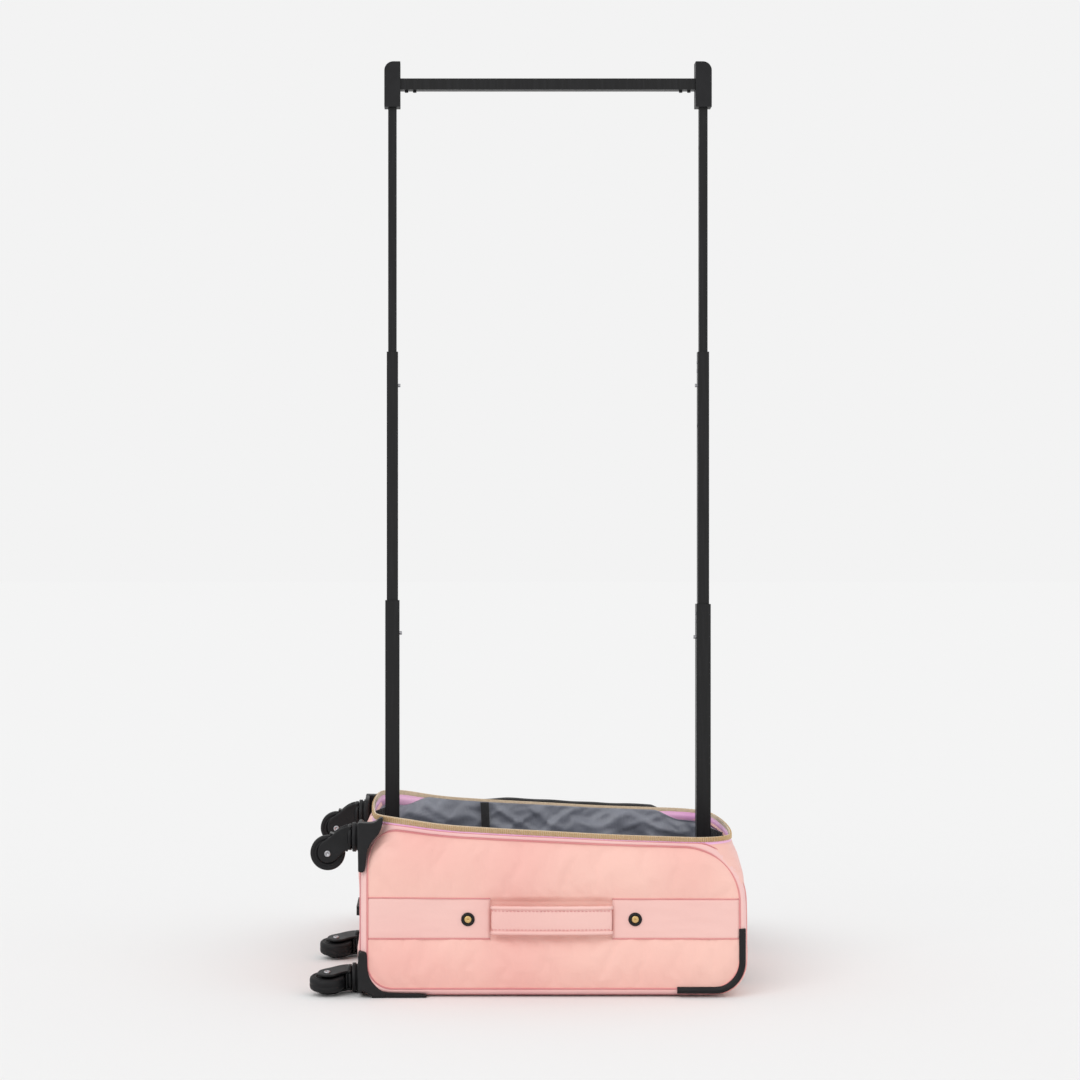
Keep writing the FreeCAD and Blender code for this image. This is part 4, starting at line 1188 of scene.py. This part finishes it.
def prism(name, outline, to_space, low, high, material, body="case", round_edge=1.0):
    """A flat outline given depth, with rounded edges; to_space turns (across, up, depth) into a place."""
    count = len(outline)
    points = [to_space(u, v, depth) for depth in (low, high) for u, v in outline]
    faces = [(s, (s + 1) % count, count + (s + 1) % count, count + s) for s in range(count)]
    faces += [tuple(reversed(range(count))), tuple(range(count, 2 * count))]
    piece = fix_normals(make(name, points, faces, material, body))
    bevel(piece, round_edge, 38, segments=3, harden_normals=True)
    return piece


def corner_guard(side, name):
    """The moulded strip that follows the side seam round the lower head corner, ridged along its middle."""
    path = []
    for step in range(13):
        path.append((240.2, mix(88, 47.5, step / 12)))
    for step in range(1, 19):
        angle = math.radians(-90 * step / 18)
        path.append((204.2 + 36 * math.cos(angle), 47.5 + 38 * math.sin(angle)))
    for step in range(1, 13):
        path.append((mix(204.2, 157, step / 12), 9.6))
    places, outs = [], []
    for x, z in path:
        places.append(Vector((x, side * (side_y(x, z) + 1.3), z)))
        outs.append(Vector((0, side, 0)))
    section = [(-4.2, -3.5), (-4.2, 1.2), (-3.6, 1.9), (-1.6, 2.3), (-0.5, 2.9), (0.5, 2.9), (1.6, 2.3), (3.6, 1.9),
               (4.2, 1.2), (4.2, -3.5)]
    points, faces = sweep(places, outs, section, closed=False)
    strip = fix_normals(make(name, points, faces, PLASTIC))
    bevel(strip, 0.6, 50, segments=2)
    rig.slot(strip, "moulded_black")
    return strip


def housing_faces(side, name, flange, plate, skid=None):
    """A wheel housing: a flange on the side face, a plate on the foot wall and, low down, a skid."""
    made = [prism(name + "_flange", flange, lambda u, v, d: (u, side * d, v), 160, 178.9, PLASTIC, round_edge=2.2),
            prism(name + "_plate", plate, lambda u, v, d: (d, side * u, v), -249.4, -244, PLASTIC, round_edge=1.6)]
    if skid:
        made.append(prism(name + "_skid", skid, lambda u, v, d: (u, side * d, v), 142, 177.2, PLASTIC,
                          round_edge=1.2))
    for piece in made:
        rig.slot(piece, "moulded_black")
    return made


def collar(side, height, name):
    """The stepped round boss that carries a caster's swivel plate."""
    profile = ((19.5, -244.5), (19.5, -250.4), (19.1, -251.0), (17.2, -251.4), (17.2, -252.6), (18.7, -253.0),
               (18.9, -253.6), (18.9, -257.2), (18.2, -257.9), (9.0, -258.0), (0.0, -258.0))
    centre = (0, side * STEM_Y, height)
    boss = disc(name, centre, (1, 0, 0), profile, PLASTIC, steps=56)
    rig.slot(boss, "moulded_black")
    return boss


UPPER_FLANGE = softened(((-249.6, 165), (-247.5, 159.8), (-242.2, 159.8), (-239.8, 165), (-238.6, 184), (-234.5, 196),
                         (-224, 207.5), (-221.2, 212), (-218.0, 222), (-217.2, 229.4), (-221.5, 229.4), (-227, 224),
                         (-234, 222.5), (-249.6, 223)), (13,))
UPPER_PLATE = softened(((178.5, 163), (175, 159.5), (168, 160), (164, 182), (150, 186), (118, 184), (112, 192),
                        (112, 214), (120, 222.5), (178.5, 222.5)), (9,))
LOWER_FLANGE = softened(((-249.6, 54), (-247, 59.2), (-240, 59.2), (-237.6, 54), (-237.4, 34), (-233, 22),
                         (-224, 12), (-214, 5.6), (-214, 0.6), (-230, 0.6), (-240, 8), (-249.6, 10)), (7, 8, 11))
LOWER_PLATE = softened(((178.5, 55), (175, 59), (160, 59), (148, 46), (118, 44), (112, 36), (112, 8), (118, 3),
                        (165, 3), (178.5, 8)))
LOWER_SKID = softened(((-232, 0.3), (-164, 0.3), (-161, 2), (-164, 4.8), (-205, 5.6), (-222, 9), (-232, 12)),
                      (0, 6))


def guards_and_housings():
    guards, low, high = [], [], []
    for side, name in ((-1, "near"), (1, "far")):
        guards.append(corner_guard(side, name + "_head_guard"))
        low += housing_faces(side, name + "_lower_housing", LOWER_FLANGE, LOWER_PLATE, LOWER_SKID)
        high += housing_faces(side, name + "_upper_housing", UPPER_FLANGE, UPPER_PLATE)
        low.append(collar(side, LOWER_STEM, name + "_lower_collar"))
        high.append(collar(side, UPPER_STEM, name + "_upper_collar"))
    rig.replaces(guards[0], "head_corner_guards")
    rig.replaces(low[0], "lower_wheel_housings")
    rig.replaces(high[0], "upper_wheel_housings")


STEM_Y, UPPER_STEM, LOWER_STEM, LOWER_TURN = 135, 200, 19, -82
HUB_X, TRAIL, TYRE = -289.6, 20.0, 22.5


def caster(prefix, side, height, swivel):
    """A hooded fork with sculpted cheeks, its bolt and its wheel, all turned about the swivel."""
    turn = Matrix.Rotation(math.radians(swivel), 3, "X")
    stand = Vector((0, side * STEM_Y, height))

    def put(u, v, depth):
        return stand + turn @ Vector((u, depth, v))

    def turned(profile, steps):
        """Rings of (radius, depth) about the axle."""
        return [[put(HUB_X + radius * math.cos(math.tau * s / steps),
                     -TRAIL + radius * math.sin(math.tau * s / steps), depth) for s in range(steps)]
                for radius, depth in profile]

    fork_body, wheel_body = prefix + "_fork", prefix + "_wheel"
    crown = ((0.0, -258.6), (16.2, -258.6), (16.9, -259.2), (16.9, -262.0), (16.2, -263.2), (13.0, -264.4),
             (0.0, -264.6))
    rings = [[put(depth, radius * math.sin(math.tau * s / 48), radius * math.cos(math.tau * s / 48))
              for s in range(48)] for radius, depth in crown]
    points, faces = loft(rings)
    top = fix_normals(make(prefix + "_crown", points, faces, CAP_PLASTIC, fork_body))
    cheek = softened(((-259, 15.2), (-267, 14.8), (-276, 10.5), (-287, 1), (-299, -7), (-303.0, -17), (-300, -28),
                      (-291, -32.5), (-280, -30), (-271, -20), (-264, -15.4), (-259, -15)), (0, 11))
    made = [top]
    for low, high, label in ((-13.2, -9.3, "near"), (9.3, 13.2, "far")):
        made.append(prism(f"{prefix}_cheek_{label}", cheek, put, low, high, CAP_PLASTIC, fork_body, 1.9))
    angles = [math.radians(mix(5, 84, step / 24)) for step in range(25)]
    hood = [(a, TYRE + 1.4) for a in angles] + [(a, TYRE + 3.6) for a in reversed(angles)]
    hood = [(HUB_X + r * math.cos(a), -TRAIL + r * math.sin(a)) for a, r in hood]
    hood = [(u, v) for u, v in hood if u < -262.5]
    made.append(prism(prefix + "_hood", hood, put, -9.8, 9.8, CAP_PLASTIC, fork_body, 0.6))
    bolt_profile = ((0.0, 13.6), (1.9, 13.6), (2.1, 14.7), (3.3, 14.8), (4.1, 14.1), (4.3, 13.0), (2.0, 9.3),
                    (1.9, 0.0), (2.0, -9.3), (4.3, -13.0), (4.1, -14.1), (3.3, -14.8), (2.1, -14.7), (1.9, -13.6),
                    (0.0, -13.6))
    points, faces = loft(turned(bolt_profile, 28))
    bolt = fix_normals(make(prefix + "_bolt", points, faces, STEEL, fork_body))
    half = ((2.4, 8.4), (6.6, 8.5), (7.2, 7.4), (13.2, 7.0), (14.0, 8.1), (16.4, 8.3), (16.9, 7.3), (17.5, 8.1),
            (20.4, 7.9), (21.9, 6.6), (22.5, 4.2), (22.5, 1.1), (22.1, 0.5))
    profile = half + tuple((radius, -depth) for radius, depth in reversed(half))
    points, faces = loft(turned(profile + profile[:1], 72))
    wheel = fix_normals(make(prefix + "_tread", points, faces, RUBBER, wheel_body))
    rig.replaces(top, prefix + "_fork")
    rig.replaces(bolt, prefix + "_axle")
    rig.replaces(wheel, prefix + "_wheel")
    for piece in made:
        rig.slot(piece, "fork_black")
    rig.slot(bolt, "axle_steel")
    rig.slot(wheel, "wheel_rubber")


def casters():
    for label, side in (("near", -1), ("far", 1)):
        caster(label + "_upper", side, UPPER_STEM, 0)
        caster(label + "_lower", side, LOWER_STEM, LOWER_TURN)


# ---------------------------------------------------------------- lid, hinge tape and straps

LID_SLOPE = math.atan((233 - 202) / 494)
LID_POINTS = 260
LID_STAND = (Matrix.Translation(Vector((0, 177.5, 207))) @ Matrix.Rotation(LID_SLOPE, 4, "Y")
             @ Matrix.Rotation(math.radians(-210), 4, "X"))
LID_HALF, LID_NEAR, LID_FREE, LID_ROUND = 235.0, -14.0, -360.0, 48.0


def lid_ring(inset, height, rough=0.0):
    """A rounded outline on the lid, inset from its edge, in the lid's own frame."""
    radius = max(4.0, LID_ROUND - inset)
    low, high, half = LID_FREE + inset, LID_NEAR - inset, LID_HALF - inset
    outline = rounded_outline(((-half, low, radius), (half, low, radius), (half, high, radius),
                               (-half, high, radius)), 5.0)
    return [(x, y, height + rough * noise.noise(Vector((x / 62, y / 62, height / 9))))
            for x, y in resample(outline, LID_POINTS)]


def on_lid(rings):
    return [[LID_STAND @ Vector(point) for point in ring] for ring in rings]


def lid():
    """The front panel: a padded outer face with a pocket zip, piping, gusset and zip teeth, and a lined inside."""
    outer = [lid_ring(5.0, -0.2), lid_ring(3.2, 0.6), lid_ring(2.4, 3.0), lid_ring(2.2, 7.0), lid_ring(3.4, 10.4),
             lid_ring(6.0, 11.6), lid_ring(12.0, 12.8, 0.6), lid_ring(24, 13.8, 1.6), lid_ring(44, 14.3, 2.2),
             lid_ring(70, 14.5, 2.4), lid_ring(100, 14.5, 2.4), lid_ring(130, 14.5, 2.0), lid_ring(158, 14.5, 1.2)]
    points, faces = loft(on_lid(outer))
    faces.append(tuple(range(len(points) - LID_POINTS, len(points))))
    shell = fix_normals(make("lid_shell", points, faces, PINK, "lid"))
    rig.replaces(shell, "lid_panel")
    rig.slot(shell, "pink_shell")
    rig.padded(shell, fill=0.7)
    up = LID_STAND.to_3x3() @ UP
    for name, inset, height, radius in (("lid_cord", 2.6, 9.0, 1.5), ("lid_cord_inner", 11.5, 13.2, 1.0)):
        path, = on_lid([lid_ring(inset, height)])
        points, faces = sweep(path, [up] * len(path), circle(radius, 10))
        cord = make(name, points, faces, PIPING, "lid")
        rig.slot(cord, "piping")
        if name == "lid_cord":
            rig.replaces(cord, "lid_piping")
    gusset = [lid_ring(3.2, 0.4), lid_ring(3.0, -1.2), lid_ring(3.4, -3.4), lid_ring(4.6, -3.8), lid_ring(5.4, -3.0),
              lid_ring(5.8, 0.0)]
    points, faces = loft(on_lid(gusset))
    tape = fix_normals(make("lid_zip_tape", points, faces, LILAC, "lid"))
    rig.slot(tape, "gusset")
    ring = [point for point in lid_ring(3.2, -4.0) if point[1] < -60]
    ring.sort(key=lambda point: math.atan2(point[0], -(point[1] + 60)))
    path = [LID_STAND @ Vector(point) for point in ring]
    outs = []
    for x, y, _ in ring:
        across = max(0.0, abs(x) - (LID_HALF - LID_ROUND)) * (1 if x > 0 else -1)
        along = min(0.0, y - (LID_FREE + LID_ROUND))
        out = Vector((across, along, 0))
        outs.append(LID_STAND.to_3x3() @ (out.normalized() if out.length else Vector((0, -1, 0))))
    teeth = zip_teeth("lid_teeth", path, outs, up, 4.2, "lid", closing=False)
    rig.replaces(teeth, "lid_zipper")
    lining_rings = [lid_ring(4.6, 0.2), lid_ring(8, -1.0), lid_ring(14, -1.6, 1.5), lid_ring(30, -1.8, 3.0),
                    lid_ring(60, -1.9, 3.6), lid_ring(95, -1.9, 3.6), lid_ring(130, -1.9, 3.0),
                    lid_ring(158, -1.9, 1.6)]
    points, faces = loft(on_lid(lining_rings))
    faces.append(tuple(range(len(points) - LID_POINTS, len(points))))
    inside = fix_normals(make("lid_lining", points, faces, LINING, "lid"))
    inside.data.flip_normals()
    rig.slot(inside, "lining")
    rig.sheet(inside, flat=(0.337, 0.461), held="stretched", rests_on=["lid_shell"], area=0.153)
    lid_pocket()


def lid_patch(name, x0, x1, y0, y1, height, rough, material, columns=60, rows=36):
    """A patch sewn on the lid, turned down to it at its borders."""
    def place(column, row):
        x, y = mix(x0, x1, column / columns), mix(y0, y1, row / rows)
        edge = min(abs(x - x0), abs(x1 - x), abs(y - y0), abs(y1 - y))
        rise = height * (0.55 + 0.45 * smooth(0, 6, edge))
        wave = rough * noise.noise(Vector((x / 34, y / 30, 3.0))) * smooth(0, 16, edge)
        return LID_STAND @ Vector((x, y, rise + wave))

    points, faces = grid(columns, rows, place)
    patch = fix_normals(make(name, points, faces, material, "lid"))
    add_modifier(patch, "SOLIDIFY", thickness=0.8 * MM, offset=0.0)
    return patch


def lid_pocket():
    """The net pocket inside the lid with its webbing edge and zip, and the outer pocket's zip."""
    net = lid_patch("lid_net", -196, 196, -330, -78, -6.0, 1.6, NET)
    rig.slot(net, "lining")
    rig.sheet(net, flat=(0.252, 0.392), held="stretched", rests_on=["lid_lining"])
    for name, x0, x1, y0, y1 in (("lid_net_foot", -204, -192, -336, -70), ("lid_net_head", 192, 204, -336, -70),
                                 ("lid_net_free", -204, 204, -336, -324), ("lid_net_zip", -204, 204, -84, -70)):
        columns, rows = (40, 6) if x1 - x0 > 50 else (6, 40)
        edge = lid_patch(name, x0, x1, y0, y1, -7.2, 0.2, WEB, columns, rows)
        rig.slot(edge, "webbing")
    path = [LID_STAND @ Vector((mix(-196, 196, step / 80), -77, -8.4)) for step in range(81)]
    side = LID_STAND.to_3x3() @ Vector((0, 1, 0))
    out = LID_STAND.to_3x3() @ Vector((0, 0, -1))
    zip_teeth("lid_net_teeth", path, [out] * 81, side, 4.0, "lid", closing=False)
    path = [LID_STAND @ Vector((mix(-190, 190, step / 80), -66, 17.6)) for step in range(81)]
    placket = lid_patch("lid_pocket_placket", -196, 196, -74, -58, 16.4, 0.2, LILAC, 60, 8)
    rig.slot(placket, "gusset")
    zip_teeth("lid_pocket_teeth", path, [-out] * 81, side, 4.0, "lid", closing=False)


TAPE_START, TAPE_END = -152, 168


def hinge_tape():
    """The bound fabric hinge over the far rim: one side on the case, the other on the lid."""
    rows = []
    for step in range(81):
        x = mix(TAPE_START, TAPE_END, step / 80)
        top = rim_line(x)
        taper = smooth(0, 14, min(x - TAPE_START, TAPE_END - x))
        bump_up = mix(-3.0, 2.4, taper * smooth(-100, -45, x)) + 0.3 * math.sin(x / 9)
        tilt = -math.tan(LID_SLOPE) * x
        rows.append([Vector((x, 175.6, top - 15)), Vector((x, 176.2, top - 8)), Vector((x, 176.4, top - 1)),
                     Vector((x, 177.6, top + bump_up)), Vector((x, 181.0, top + bump_up + 0.5)),
                     Vector((x, 184.8, top + bump_up - 1.4)),
                     Vector((x, 188.0, 203.5 + tilt)), Vector((x, 188.9, 198.5 + tilt)),
                     Vector((x, 187.6, 192.5 + tilt)), Vector((x, 186.2, 188.4 + tilt))])
    points, faces = loft(rows, closed=False)
    tape = fix_normals(make("hinge_tape", points, faces, WEB, None))
    add_modifier(tape, "SOLIDIFY", thickness=0.0014, offset=0.0)
    add_modifier(tape, "SUBSURF", levels=1, render_levels=1)
    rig.blend(tape, "case", "lid", (0, 0.1768, 0.207), (0, 0.1880, 0.203))
    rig.replaces(tape, "lid_hinge_tape")
    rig.slot(tape, "hinge_tape")


WEB_WIDTH = 12
STRAP_X = -82


def webbing_strip(name, path, across, thickness):
    """Flat webbing with rounded edges along a path of (place, outward)."""
    rings = []
    half = WEB_WIDTH / 2
    for point, out in path:
        section = ((-half, 0), (-half + 0.5, thickness / 2), (half - 0.5, thickness / 2), (half, 0),
                   (half - 0.5, -thickness / 2), (-half + 0.5, -thickness / 2))
        rings.append([Vector(point) + Vector(across) * u + Vector(out) * v for u, v in section])
    points, faces = loft(rings)
    faces.append(tuple(reversed(range(6))))
    faces.append(tuple(len(points) - 6 + s for s in range(6)))
    return fix_normals(make(name, points, faces, WEB))


def straps():
    """The webbing down the far wall of the lining, and the ties from the posts to the end walls."""
    path = []
    for step in range(41):
        z = mix(rim_line(STRAP_X) - 3, 34, step / 40)
        path.append(((STRAP_X + 1.5 * math.sin(step / 7), 155.0 - 1.0 * math.sin(step / 5.0), z), (0, -1, 0)))
    wall = webbing_strip("wall_strap", path, (1, 0, 0), 1.4)
    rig.replaces(wall, "lining_strap")
    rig.slot(wall, "webbing")
    ties = []
    for side, name in ((-1, "foot"), (1, "head")):
        path = []
        for step in range(49):
            share = step / 48
            x = side * mix(217, 236.5, share)
            z = rim_line(side * 228) - 12 - 7 * share
            path.append(((x, -7 - 1.1 * math.sin(share * 44) - 3 * share, z), (0, -1, 0)))
        ties.append(webbing_strip(name + "_tie", path, (0, 0, 1), 2.4))
    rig.replaces(ties[0], "post_straps")
    for tie in ties:
        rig.slot(tie, "webbing")


# ---------------------------------------------------------------- floor, light and camera

PAPER = srgb(243, 243, 243)
FLOOR = (0.85, 0.85, 0.85)


def stage():
    """A plain pale floor and backdrop, a soft key and fill, and the level camera."""
    mesh = bpy.data.meshes.new("floor")
    mesh.from_pydata([(-30, -30, 0), (30, -30, 0), (30, 30, 0), (-30, 30, 0)], [], [(0, 1, 2, 3)])
    floor = bpy.data.objects.new("floor", mesh)
    bpy.context.scene.collection.objects.link(floor)
    floor_paint, _, _ = nodes_of("floor_paint", FLOOR, 0.85, Specular_IOR_Level=0.0)
    mesh.materials.append(floor_paint)
    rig.stage(floor)
    world = bpy.data.worlds.new("studio")
    world.use_nodes = True
    background = world.node_tree.nodes["Background"]
    background.inputs["Color"].default_value = (*PAPER, 1)
    background.inputs["Strength"].default_value = 1.0
    bpy.context.scene.world = world

    def soft_sun(name, direction, power, spread):
        lamp = bpy.data.lights.new(name, "SUN")
        lamp.energy = power
        lamp.angle = math.radians(spread)
        thing = bpy.data.objects.new(name, lamp)
        bpy.context.scene.collection.objects.link(thing)
        thing.rotation_euler = Vector(direction).to_track_quat("-Z", "Y").to_euler()

    soft_sun("key", (0.45, 0.62, -0.64), 0.62, 34)
    soft_sun("fill", (-0.62, 0.5, -0.6), 0.22, 50)

    lens = bpy.data.cameras.new("camera")
    lens.lens = 80.1
    lens.sensor_width = 36
    lens.shift_x = 0.0933
    camera = bpy.data.objects.new("camera", lens)
    bpy.context.scene.collection.objects.link(camera)
    camera.location = (-0.146, -3.235, 0.583)
    camera.rotation_euler = (math.radians(90), 0, 0)
    bpy.context.scene.camera = camera
    bpy.context.scene.view_settings.view_transform = "Standard"


# ---------------------------------------------------------------- the object

case_shell()
piping_and_edging()
gusset_and_zip()
lining()
guards_and_housings()
casters()
lid()
hinge_tape()
straps()
rim_band()
side_bands()
head_bands()
near_handle()
head_handle()
eyelets()
dress_cad_nodes()
stage()

with open("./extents.json", "w") as out:
    json.dump({"cad": cad_bounds, "visual": [list(corner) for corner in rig.bounds()]}, out)
